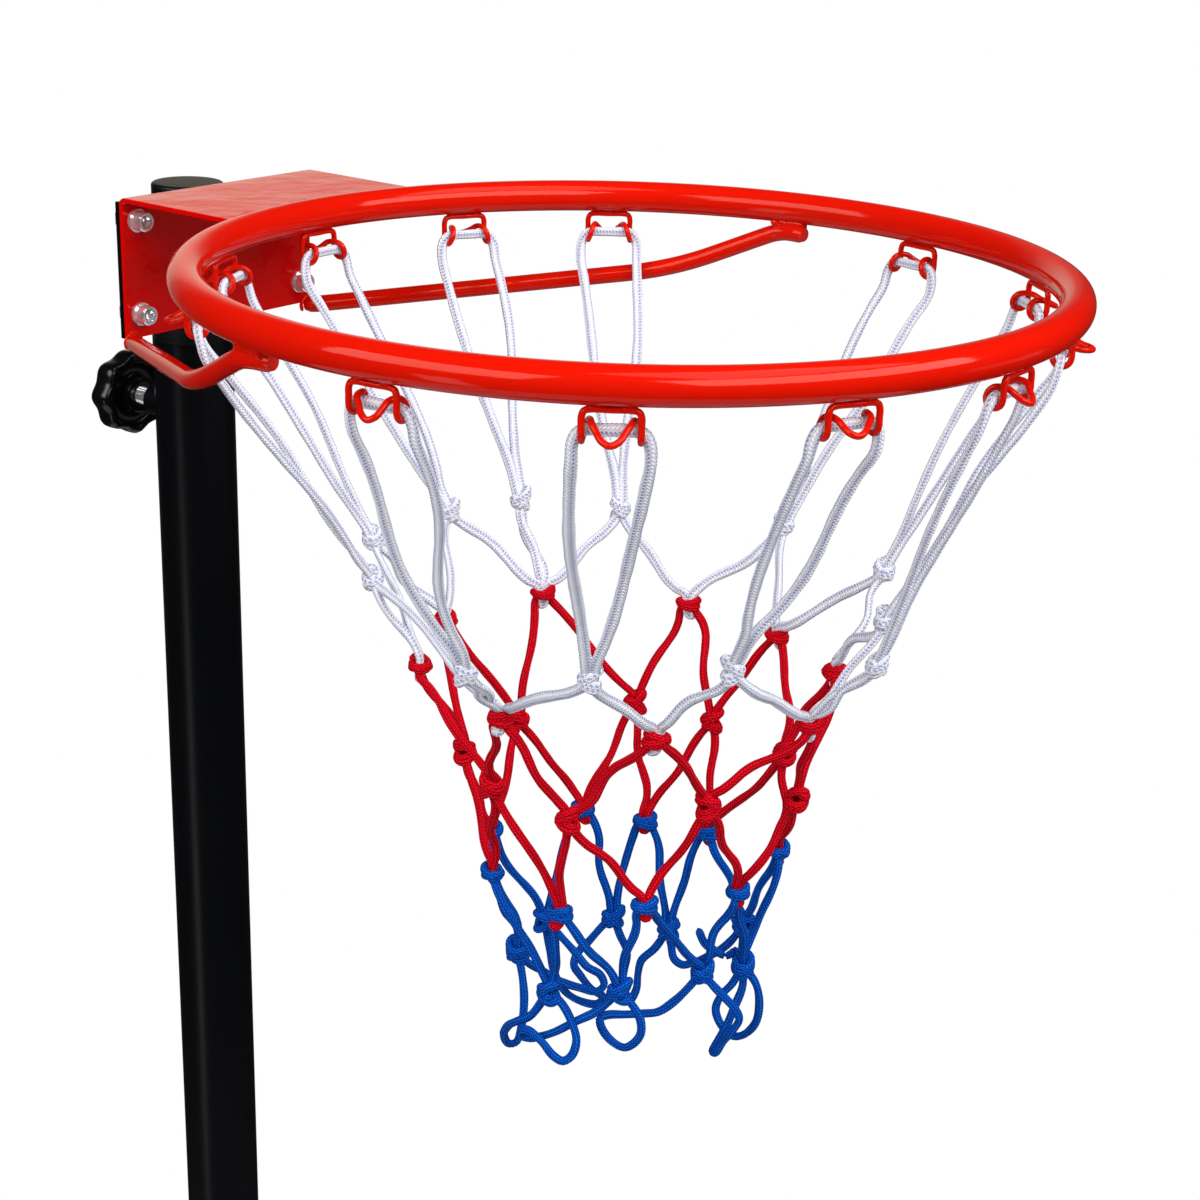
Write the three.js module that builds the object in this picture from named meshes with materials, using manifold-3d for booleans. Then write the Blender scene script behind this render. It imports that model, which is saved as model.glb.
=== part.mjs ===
// Netball post: a hoop with a knotted net on a sliding mast, held by a clamp knob, on a wheeled base.
// Millimetres, +Z up. The origin is under the post at the base's bottom and the hoop stands out along -Y.
// The mast is at its lowest height.

import * as THREE from 'three';
import { mergeVertices } from 'three/addons/utils/BufferGeometryUtils.js';
import Module from 'manifold-3d';

const wasm = await Module();
wasm.setup();

// Overall layout
const hoopHeight = 2440;
const mastTravel = 610;
const hoopReach = 296;

// Clearances
const touchGap = 0.15;
const slideGap = 0.2;
const socketGap = 0.3;
const screwGap = 0.15;
const boltGap = 0.3;
const wheelGap = 0.2;
const cutOverrun = 5;
const weldReach = 0.001;

// Hoop
const hoopInside = 380;
const hoopBar = 16;

// Hoop bracket, a folded sheet
const bracketWidth = 130;
const bracketSheet = 2.5;
const bracketRise = 6;
const bracketDrop = 66.5;
const bracketFold = 4;

// Mounting plate on the mast
const mountSheet = 3;
const mountWeld = 5;

// Fasteners of the bracket
const boltSpanX = 112;
const boltSpanZ = 48;
const boltShank = 6;
const boltHead = 10;
const boltHeadHeight = 6;
const boltSocket = 5;
const boltSocketDepth = 3;
const boltTail = 2;
const washerOutside = 12;
const washerThickness = 1.6;
const nutAcrossFlats = 10;
const nutHeight = 5;

// Struts, from the bracket's lower corners to under the hoop
const strutBar = 9;
const strutFootX = 60.3;
const strutFootDrop = 68.7;
const strutKneeX = 170;
const strutKneeReach = 194;
const strutKneeDrop = 38;
const strutBend = 24;
const strutTurns = [76, 80.5];

// Net hooks, bent wire under the hoop, by their turn from the post's side in degrees
const hookTurns = [-49, -26, 0.3, 23.5, 50, 98, 125.7, 153, 179.5, 204, 231, 260];
const hookWire = 2.8;
const hookSpan = 22.4;
const hookLeg = 9.2;
const hookCorner = 3;
const hookCurl = 4.1;
const hookTongueReach = 8.2;
const hookTongueDrop = 12;
const hookSeam = 0.4;

// Net cord and its knots
const cordWidth = 3.6;
const knotWidth = 11;
const knotTopShare = 0.851;

// Mast, the sliding tube
const mastTube = 38;
const mastWall = 1.5;
const mastOverlap = 250;
const mastCapRise = 3;
const mastCapPlug = 14;
const mastCapWall = 2;

// Outer tube and its guide bush
const outerTube = 43;
const outerWall = 1.5;
const bushFlange = 13;
const bushSkirt = 18;
const bushGroove = 0.7;

// Clamp: boss, screw, pressure pad and lobed knob
const clampDrop = 41;
const clampScrew = 10;
const clampBoss = 18;
const clampBossReach = 33;
const clampPadLength = 2.4;
const knobWidth = 47;
const knobDepth = 14;
const knobLobes = 8;
const knobScallop = 2.2;
const knobEdge = 3;
const knobFaceReach = 47;
const knobHub = 20;
const knobHubDepth = 3;
const knobDish = 38;
const knobDishDepth = 4;

// Lower tube, joint collar and joint bolt
const lowerTube = 48;
const lowerWall = 2;
const jointBelowMast = 255;
const tubeInsert = 150;
const collarOutside = 55;
const collarHeight = 26;
const collarOver = 16;
const jointBolt = 8;
const jointBoltDrop = 70;
const jointHead = 13;
const jointHeadHeight = 5.3;
const jointNutHeight = 6.5;

// Base tank
const baseLength = 660;
const baseWidth = 500;
const baseHeight = 140;
const baseCorner = 110;
const baseEdge = 20;
const baseWall = 4;
const coneFoot = 190;
const coneTop = 92;
const coneRise = 46;
const socketFloor = 14;
const fluteWidth = 44;
const fluteLength = 330;
const fluteDepth = 12;
const fluteX = 150;
const pocketWidth = 58;
const pocketLength = 140;
const pocketHeight = 160;

// Filler neck and cap
const fillerX = 78;
const fillerSetback = 115;
const neckOutside = 46;
const neckRise = 12;
const neckWall = 3.5;
const fillerCap = 60;
const fillerCapHeight = 18;
const fillerCapWall = 3;
const fillerRibs = 12;
const fillerRibDepth = 1.2;

// Wheels and axle
const wheelOutside = 120;
const wheelWidth = 34;
const wheelHub = 34;
const wheelRim = 92;
const wheelDish = 9;
const wheelTread = 4;
const groundGap = 4;
const axleSetback = 48;
const axleRod = 10;
const axleCapOutside = 20;
const axleCapHeight = 8;

// Worked out from the sizes above
const hoopRadius = (hoopInside + hoopBar) / 2;
const barRadius = hoopBar / 2;
const mastRadius = mastTube / 2;
const outerRadius = outerTube / 2;
const lowerRadius = lowerTube / 2;
const mountBackY = -mastRadius - touchGap;
const mountFrontY = mountBackY - mountSheet;
const bracketFrontY = mountFrontY - bracketSheet;
const bracketTopZ = hoopHeight + bracketRise;
const bracketBottomZ = hoopHeight - bracketDrop;
const mountTopZ = bracketTopZ - bracketSheet;
const boltMiddleZ = (bracketTopZ + bracketBottomZ) / 2;
const bushTopZ = bracketBottomZ - touchGap;
const outerTopZ = bushTopZ - bushFlange;
const clampZ = outerTopZ - clampDrop;
const mastTopZ = mountTopZ - mastCapRise;
const mastBottomZ = outerTopZ - mastTravel - mastOverlap;
const lowerTop = mastBottomZ - jointBelowMast;
const outerBottomZ = lowerTop - tubeInsert;
const jointBoltZ = lowerTop - jointBoltDrop;
const wheelRadius = wheelOutside / 2;
const fillerY = baseLength / 2 - fillerSetback;
const axleY = -baseLength / 2 + axleSetback;
const axleZ = wheelRadius + groundGap;
const noseX = baseWidth / 2 - pocketWidth;
const wheelX = noseX + wheelGap + wheelWidth / 2;

// Materials, coloured as in the photograph
const redCoat = new THREE.MeshStandardMaterial({ color: 0xd41408, roughness: 0.28, metalness: 0.1 });
const blackCoat = new THREE.MeshStandardMaterial({ color: 0x121214, roughness: 0.38, metalness: 0.2 });
const blackPlastic = new THREE.MeshStandardMaterial({ color: 0x101012, roughness: 0.5, metalness: 0 });
const tankPlastic = new THREE.MeshStandardMaterial({ color: 0x18181a, roughness: 0.6, metalness: 0 });
const zincSteel = new THREE.MeshStandardMaterial({ color: 0xbfc2c6, roughness: 0.3, metalness: 1 });
const padNylon = new THREE.MeshStandardMaterial({ color: 0xe6e2d6, roughness: 0.5, metalness: 0 });
const whiteCord = new THREE.MeshStandardMaterial({ color: 0xe9e9f2, roughness: 0.8, metalness: 0 });
const redCord = new THREE.MeshStandardMaterial({ color: 0xd0101c, roughness: 0.8, metalness: 0 });
const blueCord = new THREE.MeshStandardMaterial({ color: 0x123fae, roughness: 0.8, metalness: 0 });

const post = new THREE.Group();

// Solids: a closed geometry becomes a manifold and back

function solid(geometry) {
  const bare = geometry.index ? geometry.toNonIndexed() : geometry.clone();
  bare.deleteAttribute('normal');
  bare.deleteAttribute('uv');
  const merged = mergeVertices(bare, weldReach);
  return new wasm.Manifold(new wasm.Mesh({
    numProp: 3,
    vertProperties: new Float32Array(merged.attributes.position.array),
    triVerts: new Uint32Array(merged.index.array),
  }));
}

function surface(body) {
  const mesh = body.getMesh();
  const geometry = new THREE.BufferGeometry();
  geometry.setAttribute('position', new THREE.BufferAttribute(new Float32Array(mesh.vertProperties), mesh.numProp));
  geometry.setIndex(new THREE.BufferAttribute(new Uint32Array(mesh.triVerts), 1));
  geometry.computeVertexNormals();
  return geometry;
}

function addPiece(name, geometry, material, group = post) {
  const mesh = new THREE.Mesh(geometry, material);
  mesh.name = name;
  group.add(mesh);
  return mesh;
}

function addSolid(name, body, material) {
  return addPiece(name, surface(body), material);
}

function fuse(bodies) {
  return bodies.reduce((whole, body) => whole.add(body));
}

// Basic forms, each placed in the post's own frame

function rodAlongZ(radius, bottom, top, sides) {
  const geometry = new THREE.CylinderGeometry(radius, radius, top - bottom, sides);
  geometry.rotateX(Math.PI / 2);
  return geometry.translate(0, 0, (bottom + top) / 2);
}

function rodAlongY(radius, start, end, sides) {
  const geometry = new THREE.CylinderGeometry(radius, radius, end - start, sides);
  return geometry.translate(0, (start + end) / 2, 0);
}

function rodAlongX(radius, start, end, sides) {
  const geometry = new THREE.CylinderGeometry(radius, radius, end - start, sides);
  geometry.rotateZ(-Math.PI / 2);
  return geometry.translate((start + end) / 2, 0, 0);
}

function block(x0, x1, y0, y1, z0, z1) {
  const geometry = new THREE.BoxGeometry(x1 - x0, y1 - y0, z1 - z0);
  return geometry.translate((x0 + x1) / 2, (y0 + y1) / 2, (z0 + z1) / 2);
}

// A closed profile of [radius, height] points, turned about the Z axis
function turned(profile, sides) {
  const points = profile.map(([radius, height]) => new THREE.Vector2(radius, height));
  points.push(points[0].clone());
  const geometry = new THREE.LatheGeometry(points, sides);
  return geometry.rotateX(Math.PI / 2);
}

function tubeAlongZ(outside, inside, bottom, top, sides) {
  return turned([[inside, bottom], [outside, bottom], [outside, top], [inside, top]], sides);
}

// A path that a bar follows corner by corner, through places given in order
class Route extends THREE.Curve {
  constructor(places, facing) {
    super();
    this.places = places;
    this.facing = facing;
  }

  getPointAt(share) {
    const along = share * (this.places.length - 1);
    const index = Math.min(Math.floor(along), this.places.length - 2);
    return this.places[index].clone().lerp(this.places[index + 1], along - index);
  }

  getTangentAt(share) {
    const index = Math.round(share * (this.places.length - 1));
    const before = this.places[Math.max(index - 1, 0)];
    const after = this.places[Math.min(index + 1, this.places.length - 1)];
    return after.clone().sub(before).normalize();
  }

  // Every section turns one corner towards the facing direction, so the bar's rests are known
  computeFrenetFrames(steps, closed) {
    if (!this.facing) return super.computeFrenetFrames(steps, closed);
    const tangents = this.places.map((place, index) => this.getTangentAt(index / steps));
    const normals = tangents.map((tangent) => this.facing.clone()
      .addScaledVector(tangent, -tangent.dot(this.facing)).normalize());
    const binormals = tangents.map((tangent, index) => tangent.clone().cross(normals[index]));
    return { tangents, normals, binormals };
  }
}

// A round bar of the given width through places given in order
function barThrough(places, width, sides, facing = null) {
  const section = new THREE.Shape();
  for (let side = 0; side < sides; side += 1) {
    const turn = 2 * Math.PI * side / sides;
    const x = width / 2 * Math.cos(turn);
    const y = width / 2 * Math.sin(turn);
    if (side === 0) section.moveTo(x, y);
    else section.lineTo(x, y);
  }
  section.closePath();
  const steps = places.length - 1;
  const extrudePath = new Route(places, facing);
  return new THREE.ExtrudeGeometry(section, { steps, bevelEnabled: false, extrudePath });
}

function degrees(turn) {
  return turn * Math.PI / 180;
}

// A place at a turn from the post's side, seen from the hoop's middle
function aroundHoop(turn, radius, height) {
  const x = -radius * Math.sin(degrees(turn));
  const y = radius * Math.cos(degrees(turn)) - hoopReach;
  return new THREE.Vector3(x, y, hoopHeight + height);
}

// Hoop
const hoopRounds = 48;
const hoopSides = 12;

function hoopGeometry(extra = 0) {
  const geometry = new THREE.TorusGeometry(hoopRadius, barRadius + extra, hoopSides, hoopRounds);
  return geometry.translate(0, -hoopReach, hoopHeight);
}

addPiece('hoop', hoopGeometry(), redCoat);

// Bracket: a folded sheet whose top is coped to the hoop and whose upright takes four bolts

function boltPlaces() {
  const places = [];
  for (const z of [boltMiddleZ + boltSpanZ / 2, boltMiddleZ - boltSpanZ / 2]) {
    for (const x of [-boltSpanX / 2, boltSpanX / 2]) places.push({ x, z });
  }
  return places;
}

function boltHoles(width, front, back) {
  const radius = width / 2;
  return fuse(boltPlaces().map(({ x, z }) => {
    const hole = rodAlongY(radius, front - cutOverrun, back + cutOverrun, 12);
    return solid(hole.translate(x, 0, z));
  }));
}

function bracketProfile() {
  const profile = new THREE.Shape();
  const outerBack = mountFrontY;
  const reach = -hoopReach;
  profile.moveTo(outerBack, bracketBottomZ);
  profile.lineTo(outerBack, bracketTopZ - bracketFold);
  profile.absarc(outerBack - bracketFold, bracketTopZ - bracketFold, bracketFold, 0, Math.PI / 2, false);
  profile.lineTo(reach, bracketTopZ);
  profile.lineTo(reach, bracketTopZ - bracketSheet);
  const inside = bracketFold - bracketSheet;
  profile.lineTo(outerBack - bracketFold, bracketTopZ - bracketSheet);
  profile.absarc(outerBack - bracketFold, bracketTopZ - bracketFold, inside, Math.PI / 2, 0, true);
  profile.lineTo(bracketFrontY, bracketBottomZ);
  profile.closePath();
  return profile;
}

function addBracket() {
  const sheet = new THREE.ExtrudeGeometry(bracketProfile(), {
    depth: bracketWidth, steps: 1, bevelEnabled: false, curveSegments: 4,
  });
  // The profile is drawn in Y and Z, so it is turned to run along X
  sheet.applyMatrix4(new THREE.Matrix4().makeBasis(
    new THREE.Vector3(0, 1, 0), new THREE.Vector3(0, 0, 1), new THREE.Vector3(1, 0, 0),
  ));
  sheet.translate(-bracketWidth / 2, 0, 0);
  const hoopDisc = rodAlongZ(hoopRadius, bracketBottomZ, bracketTopZ + cutOverrun, hoopRounds);
  const body = solid(sheet)
    .subtract(solid(hoopDisc.translate(0, -hoopReach, 0)))
    .subtract(solid(hoopGeometry(touchGap)))
    .subtract(boltHoles(boltShank + 2 * boltGap, bracketFrontY, mountFrontY));
  addSolid('bracket', body, redCoat);
}
addBracket();

// Struts: a straight run out to a knee, then up to lie along under the hoop

function bendPlaces(from, corner, to, reach) {
  const start = corner.clone().lerp(from, reach / corner.distanceTo(from));
  const end = corner.clone().lerp(to, reach / corner.distanceTo(to));
  return new THREE.QuadraticBezierCurve3(start, corner, end).getPoints(5);
}

function strutPlaces(side) {
  const underHoop = -barRadius - strutBar / 2 - touchGap;
  const foot = new THREE.Vector3(side * strutFootX, mountFrontY, hoopHeight - strutFootDrop);
  const knee = new THREE.Vector3(side * strutKneeX, -strutKneeReach, hoopHeight - strutKneeDrop);
  const [landTurn, endTurn] = strutTurns;
  const land = aroundHoop(-side * landTurn, hoopRadius, underHoop);
  const end = aroundHoop(-side * endTurn, hoopRadius - strutBar / 2, underHoop);
  const reach = Math.min(strutBend, knee.distanceTo(land) / 2);
  const kneeBend = bendPlaces(foot, knee, land, reach);
  const landBend = bendPlaces(knee, land, end, reach / 3);
  return [foot, ...kneeBend, ...landBend, end];
}

function addStrut(name, side) {
  const rod = solid(barThrough(strutPlaces(side), strutBar, 10));
  const behindFace = block(
    -bracketWidth, bracketWidth, bracketFrontY - touchGap, mountFrontY + hoopReach,
    bracketBottomZ - bracketWidth, bracketTopZ,
  );
  addSolid(name, rod.subtract(solid(behindFace)).subtract(solid(hoopGeometry(touchGap))), redCoat);
}
addStrut('strut_left', -1);
addStrut('strut_right', 1);

// Net hooks: each wire runs from the seam in its top bar down a leg, round a curl and out to a tongue

function hookPoints() {
  const points = [];
  const half = hookSpan / 2;
  const passing = hookWire + touchGap;
  points.push([hookSeam / 2, 0, 0]);
  points.push([half - hookCorner, 0, 0]);
  points.push([half, 0, -hookCorner]);
  const curlSteps = 4;
  for (let step = 0; step <= curlSteps; step += 1) {
    const turn = 1.5 * Math.PI * step / curlSteps;
    const drift = passing * Math.max(0, step - curlSteps / 2) / (curlSteps / 2);
    points.push([half - drift, -hookCurl + hookCurl * Math.cos(turn), -hookLeg - hookCurl * Math.sin(turn)]);
  }
  const inner = half - passing - hookWire / 2;
  points.push([inner, hookWire / 2, -hookLeg + hookCurl - hookWire / 2]);
  points.push([inner * 3 / 4, hookTongueReach * 3 / 4, -hookTongueDrop + hookWire]);
  return points;
}

function hookPlaces() {
  const right = hookPoints();
  const left = right.map(([along, out, up]) => [-along, out, up]).reverse();
  const tip = [0, hookTongueReach, -hookTongueDrop];
  return [...right, tip, ...left].map(([along, out, up]) => new THREE.Vector3(along, out, up));
}

const hookShape = barThrough(hookPlaces(), hookWire, 4);
const hookDrop = barRadius + hookWire / 2 + touchGap;

hookTurns.forEach((turn, index) => {
  const hook = addPiece(`hook_${String(index + 1).padStart(2, '0')}`, hookShape, redCoat);
  hook.position.copy(aroundHoop(turn, hoopRadius, -hookDrop));
  hook.rotation.z = degrees(turn);
});

// Net: five rows of knots and the bights at the bottom, as they hang in the photograph.
// Each place is a turn about the hoop's middle in degrees, a radius and a drop below the hoop's plane.

const hookKnots = [
  [308, 127, 152], [332, 129, 146], [351, 129, 146], [17, 131, 146], [33, 119, 154], [97, 129, 152],
  [122, 127, 146], [150, 126, 144], [185, 136, 157], [200, 127, 149], [229, 130, 147], [267, 128, 149],
];
const upperRedKnots = [
  [331, 100, 189], [8, 100, 189], [43, 95, 191], [95, 96, 186], [138, 97, 187],
  [186, 104, 196], [217, 104, 190], [252, 97, 194], [286, 98, 192],
];
const lowerRedKnots = [
  [349, 75, 245], [33, 74, 240], [77, 74, 234], [112, 77, 237], [163, 75, 234],
  [200, 92, 244], [224, 84, 237], [267, 76, 242], [300, 77, 241],
];
const upperBlueKnots = [
  [17, 65, 293], [59, 62, 293], [106, 64, 294], [143, 61, 289], [193, 68, 296],
  [220, 83, 289], [256, 62, 297], [291, 60, 301], [322, 62, 297],
];
const lowerBlueKnots = [
  [36, 46, 348], [96, 54, 343], [134, 52, 339], [189, 53, 342], [212, 68, 348],
  [233, 71, 338], [270, 51, 355], [305, 53, 355], [347, 53, 352],
];
const bottomBights = [
  [66, 52, 384], [111, 55, 377], [142, 55, 368], [205, 58, 376], [224, 66, 370],
  [250, 56, 372], [288, 50, 374], [326, 50, 386], [10, 50, 384],
];

// How many white bights each upper red knot gathers, from the first pair of hooks round
const whiteBights = [2, 1, 1, 2, 1, 2, 1, 1, 1];

function inRow(row, index) {
  const [turn, radius, drop] = row[(index + row.length) % row.length];
  return aroundHoop(turn, radius, -drop);
}

function eachOf(row, make) {
  return row.map((place, index) => make(index));
}

function cord(places) {
  const middle = places[Math.floor(places.length / 2)];
  const outward = new THREE.Vector3(middle.x, middle.y + hoopReach, 0).normalize();
  return solid(barThrough(places, cordWidth, 4, outward));
}

// A cord enters a knot a little towards the side that it comes from
function enter(knot, from) {
  const aside = from.clone().sub(knot).setZ(0).normalize();
  return knot.clone().addScaledVector(aside, cordWidth / 3);
}

function cordBetween(start, end) {
  return cord([enter(start, end), enter(end, start)]);
}

function knotAt(place) {
  const ball = new THREE.IcosahedronGeometry(knotWidth / 2, 0);
  return solid(ball.translate(place.x, place.y, place.z));
}

// A cord from a hook's knot up through the hook's two curls and back to the knot
function hookLoop(index) {
  const turn = hookTurns[index];
  const knot = inRow(hookKnots, index);
  const half = hookSpan / 2;
  const shifted = (from, along) => {
    const shift = new THREE.Vector3(Math.cos(degrees(turn)), Math.sin(degrees(turn)), 0);
    return from.clone().addScaledVector(shift, along);
  };
  const place = (along, drop) => {
    const eye = aroundHoop(turn, hoopRadius - hookCurl, -hookDrop - hookLeg - drop);
    return shifted(eye, along);
  };
  const oneSide = (side) => [
    place(side * half / 2, 0),
    place(side * (half + cordWidth / 2), 0),
    place(side * (half + cordWidth), cordWidth * 2 / 3),
    place(side * (half + cordWidth * 4 / 3), cordWidth * 2),
    shifted(knot, side * cordWidth / 2),
  ];
  return cord([...oneSide(-1).reverse(), ...oneSide(1)]);
}

// A cord from one knot down to a bight and up to the next knot
function bight(start, low, end) {
  return cord([enter(start, low), low, enter(end, low)]);
}

const bightRise = cordWidth / 2 + knotTopShare * knotWidth / 2 + slideGap;

function overKnot(row, index) {
  const place = inRow(row, index);
  place.z += bightRise;
  return place;
}

// The white bights go round in order, and those that share a red knot lie side by side over it
function whiteBightSolids() {
  const bights = [];
  whiteBights.forEach((count, knot) => {
    for (let copy = 0; copy < count; copy += 1) {
      const index = bights.length;
      const start = inRow(hookKnots, index);
      const end = inRow(hookKnots, index + 1);
      const low = overKnot(upperRedKnots, knot);
      const across = end.clone().sub(start).setZ(0).normalize();
      low.addScaledVector(across, (copy - (count - 1) / 2) * (cordWidth + slideGap));
      bights.push(bight(start, low, end));
    }
  });
  return bights;
}

addSolid('net_white', fuse([
  ...eachOf(hookKnots, (index) => knotAt(inRow(hookKnots, index))),
  ...eachOf(hookKnots, hookLoop),
  ...whiteBightSolids(),
]), whiteCord);

// Cords from each knot of a row to the two knots below it
function meshCords(upper, lower) {
  return upper.flatMap((place, index) => [
    cordBetween(inRow(upper, index), inRow(lower, index)),
    cordBetween(inRow(upper, index + 1), inRow(lower, index)),
  ]);
}

function rowOfBights(row, low) {
  return row.map((place, index) => bight(inRow(row, index), low(index), inRow(row, index + 1)));
}

addSolid('net_red', fuse([
  ...eachOf(upperRedKnots, (index) => knotAt(inRow(upperRedKnots, index))),
  ...eachOf(lowerRedKnots, (index) => knotAt(inRow(lowerRedKnots, index))),
  ...meshCords(upperRedKnots, lowerRedKnots),
  ...rowOfBights(lowerRedKnots, (index) => overKnot(upperBlueKnots, index)),
]), redCord);

addSolid('net_blue', fuse([
  ...eachOf(upperBlueKnots, (index) => knotAt(inRow(upperBlueKnots, index))),
  ...eachOf(lowerBlueKnots, (index) => knotAt(inRow(lowerBlueKnots, index))),
  ...meshCords(upperBlueKnots, lowerBlueKnots),
  ...rowOfBights(lowerBlueKnots, (index) => inRow(bottomBights, index)),
]), blueCord);

// Mounting plate: a black sheet with a weld along each side of the mast

function addMountPlate() {
  const half = bracketWidth / 2;
  const plate = solid(block(-half, half, mountFrontY, mountBackY, bracketBottomZ, mountTopZ));
  const welds = solid(block(
    -mastRadius / 2 - mountWeld, mastRadius / 2 + mountWeld, mountBackY - mountSheet / 2,
    -mastRadius + mountWeld, bracketBottomZ + mountWeld, mountTopZ - mountWeld,
  ));
  const mast = solid(rodAlongZ(mastRadius + touchGap, bracketBottomZ - cutOverrun, mountTopZ + cutOverrun, 32));
  const holes = boltHoles(boltShank + 2 * boltGap, mountFrontY, mountBackY);
  addSolid('mount_plate', plate.add(welds).subtract(mast).subtract(holes), blackCoat);
}
addMountPlate();

// Mast and its cap
addPiece('mast_tube', tubeAlongZ(mastRadius, mastRadius - mastWall, mastBottomZ, mastTopZ, 32), blackCoat);

const plugRadius = mastRadius - mastWall - touchGap;
addPiece('mast_cap', turned([
  [0, mastTopZ],
  [plugRadius - mastCapWall, mastTopZ],
  [plugRadius - mastCapWall, mastTopZ - mastCapPlug],
  [plugRadius, mastTopZ - mastCapPlug],
  [plugRadius, mastTopZ],
  [mastRadius, mastTopZ],
  [mastRadius, mastTopZ + mastCapRise - mastCapWall / 2],
  [mastRadius - mastCapWall / 2, mastTopZ + mastCapRise],
  [0, mastTopZ + mastCapRise],
], 24), blackPlastic);

// Bolts, washers and nuts through the bracket and the mounting plate

function boltSolid() {
  const headStart = bracketFrontY - washerThickness;
  const tail = mountBackY + nutHeight + boltTail;
  const head = rodAlongY(boltHead / 2, headStart - boltHeadHeight, headStart, 12);
  const shank = rodAlongY(boltShank / 2, headStart - boltHeadHeight / 2, tail, 12);
  const socketRadius = boltSocket / Math.sqrt(3);
  const socketEnd = headStart - boltHeadHeight + boltSocketDepth;
  const socket = rodAlongY(socketRadius, headStart - boltHeadHeight - cutOverrun, socketEnd, 6);
  return solid(head).add(solid(shank)).subtract(solid(socket));
}

function ringAlongY(outside, inside, start, end, sides, holeSides) {
  const hole = rodAlongY(inside, start - cutOverrun, end + cutOverrun, holeSides);
  return solid(rodAlongY(outside, start, end, sides)).subtract(solid(hole));
}

function addFasteners() {
  const washerFront = bracketFrontY - washerThickness;
  const holeRadius = boltShank / 2 + touchGap;
  const bolt = surface(boltSolid());
  const washer = surface(ringAlongY(washerOutside / 2, holeRadius, washerFront, bracketFrontY, 12, 12));
  const nutRadius = nutAcrossFlats / Math.sqrt(3);
  const nut = surface(ringAlongY(nutRadius, holeRadius, mountBackY, mountBackY + nutHeight, 6, 12));
  boltPlaces().forEach(({ x, z }, index) => {
    for (const [name, shape] of [['bolt', bolt], ['washer', washer], ['nut', nut]]) {
      addPiece(`${name}_${index + 1}`, shape, zincSteel).position.set(x, 0, z);
    }
  });
}
addFasteners();

// Outer tube, bored for the clamp screw at the back and for the joint bolt across

function crossHole(width, reach) {
  return solid(rodAlongX(width / 2, -reach, reach, 12).translate(0, 0, jointBoltZ));
}

function addOuterTube() {
  const tube = solid(tubeAlongZ(outerRadius, outerRadius - outerWall, outerBottomZ, outerTopZ, 32));
  const screwHole = rodAlongY(clampScrew / 2 + boltGap, 0, outerRadius + cutOverrun, 12);
  const body = tube
    .subtract(solid(screwHole.translate(0, 0, clampZ)))
    .subtract(crossHole(jointBolt + 2 * boltGap, lowerTube));
  addSolid('outer_tube', body, blackCoat);
}
addOuterTube();

// Guide bush: a grooved flange on the outer tube's end and a thin skirt inside it
const bushInside = mastRadius + slideGap;
const skirtOutside = outerRadius - outerWall - touchGap;
addPiece('guide_bush', turned([
  [bushInside, outerTopZ - bushSkirt],
  [skirtOutside, outerTopZ - bushSkirt],
  [skirtOutside, outerTopZ],
  [outerRadius, outerTopZ],
  [outerRadius, outerTopZ + bushFlange / 8],
  [outerRadius - bushGroove, outerTopZ + bushFlange / 4],
  [outerRadius, outerTopZ + bushFlange * 3 / 8],
  [outerRadius, outerTopZ + bushFlange],
  [bushInside, outerTopZ + bushFlange],
], 24), blackPlastic);

// Clamp boss, welded on the outer tube and saddled to it

function addClampBoss() {
  const boss = solid(rodAlongY(clampBoss / 2, 0, clampBossReach, 16).translate(0, 0, clampZ));
  const bore = solid(rodAlongY(clampScrew / 2 + screwGap, -cutOverrun, clampBossReach + cutOverrun, 16)
    .translate(0, 0, clampZ));
  const tube = solid(rodAlongZ(outerRadius + touchGap, clampZ - clampBoss, clampZ + clampBoss, 32));
  addSolid('clamp_boss', boss.subtract(tube).subtract(bore), blackCoat);
}
addClampBoss();

// Pressure pad on the screw's tip, and the screw
const padStart = mastRadius + slideGap;
const padEnd = padStart + clampPadLength;
const screwStart = padEnd + touchGap;
const screwEnd = knobFaceReach + knobDepth / 2;
addPiece('clamp_pad', rodAlongY(clampScrew / 2, padStart, padEnd, 16).translate(0, 0, clampZ), padNylon);
addPiece('clamp_screw', rodAlongY(clampScrew / 2, screwStart, screwEnd, 16).translate(0, 0, clampZ), zincSteel);

// Clamp knob: a lobed rim with a dished inner face and a hub

function knobOutline() {
  const outline = new THREE.Shape();
  const pointsPerLobe = 4;
  const count = knobLobes * pointsPerLobe;
  const middle = knobWidth / 2 - knobEdge - knobScallop / 2;
  for (let index = 0; index < count; index += 1) {
    const turn = 2 * Math.PI * index / count;
    const radius = middle + knobScallop / 2 * Math.cos(knobLobes * turn);
    const x = radius * Math.cos(turn);
    const y = radius * Math.sin(turn);
    if (index === 0) outline.moveTo(x, y);
    else outline.lineTo(x, y);
  }
  outline.closePath();
  return outline;
}

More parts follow.
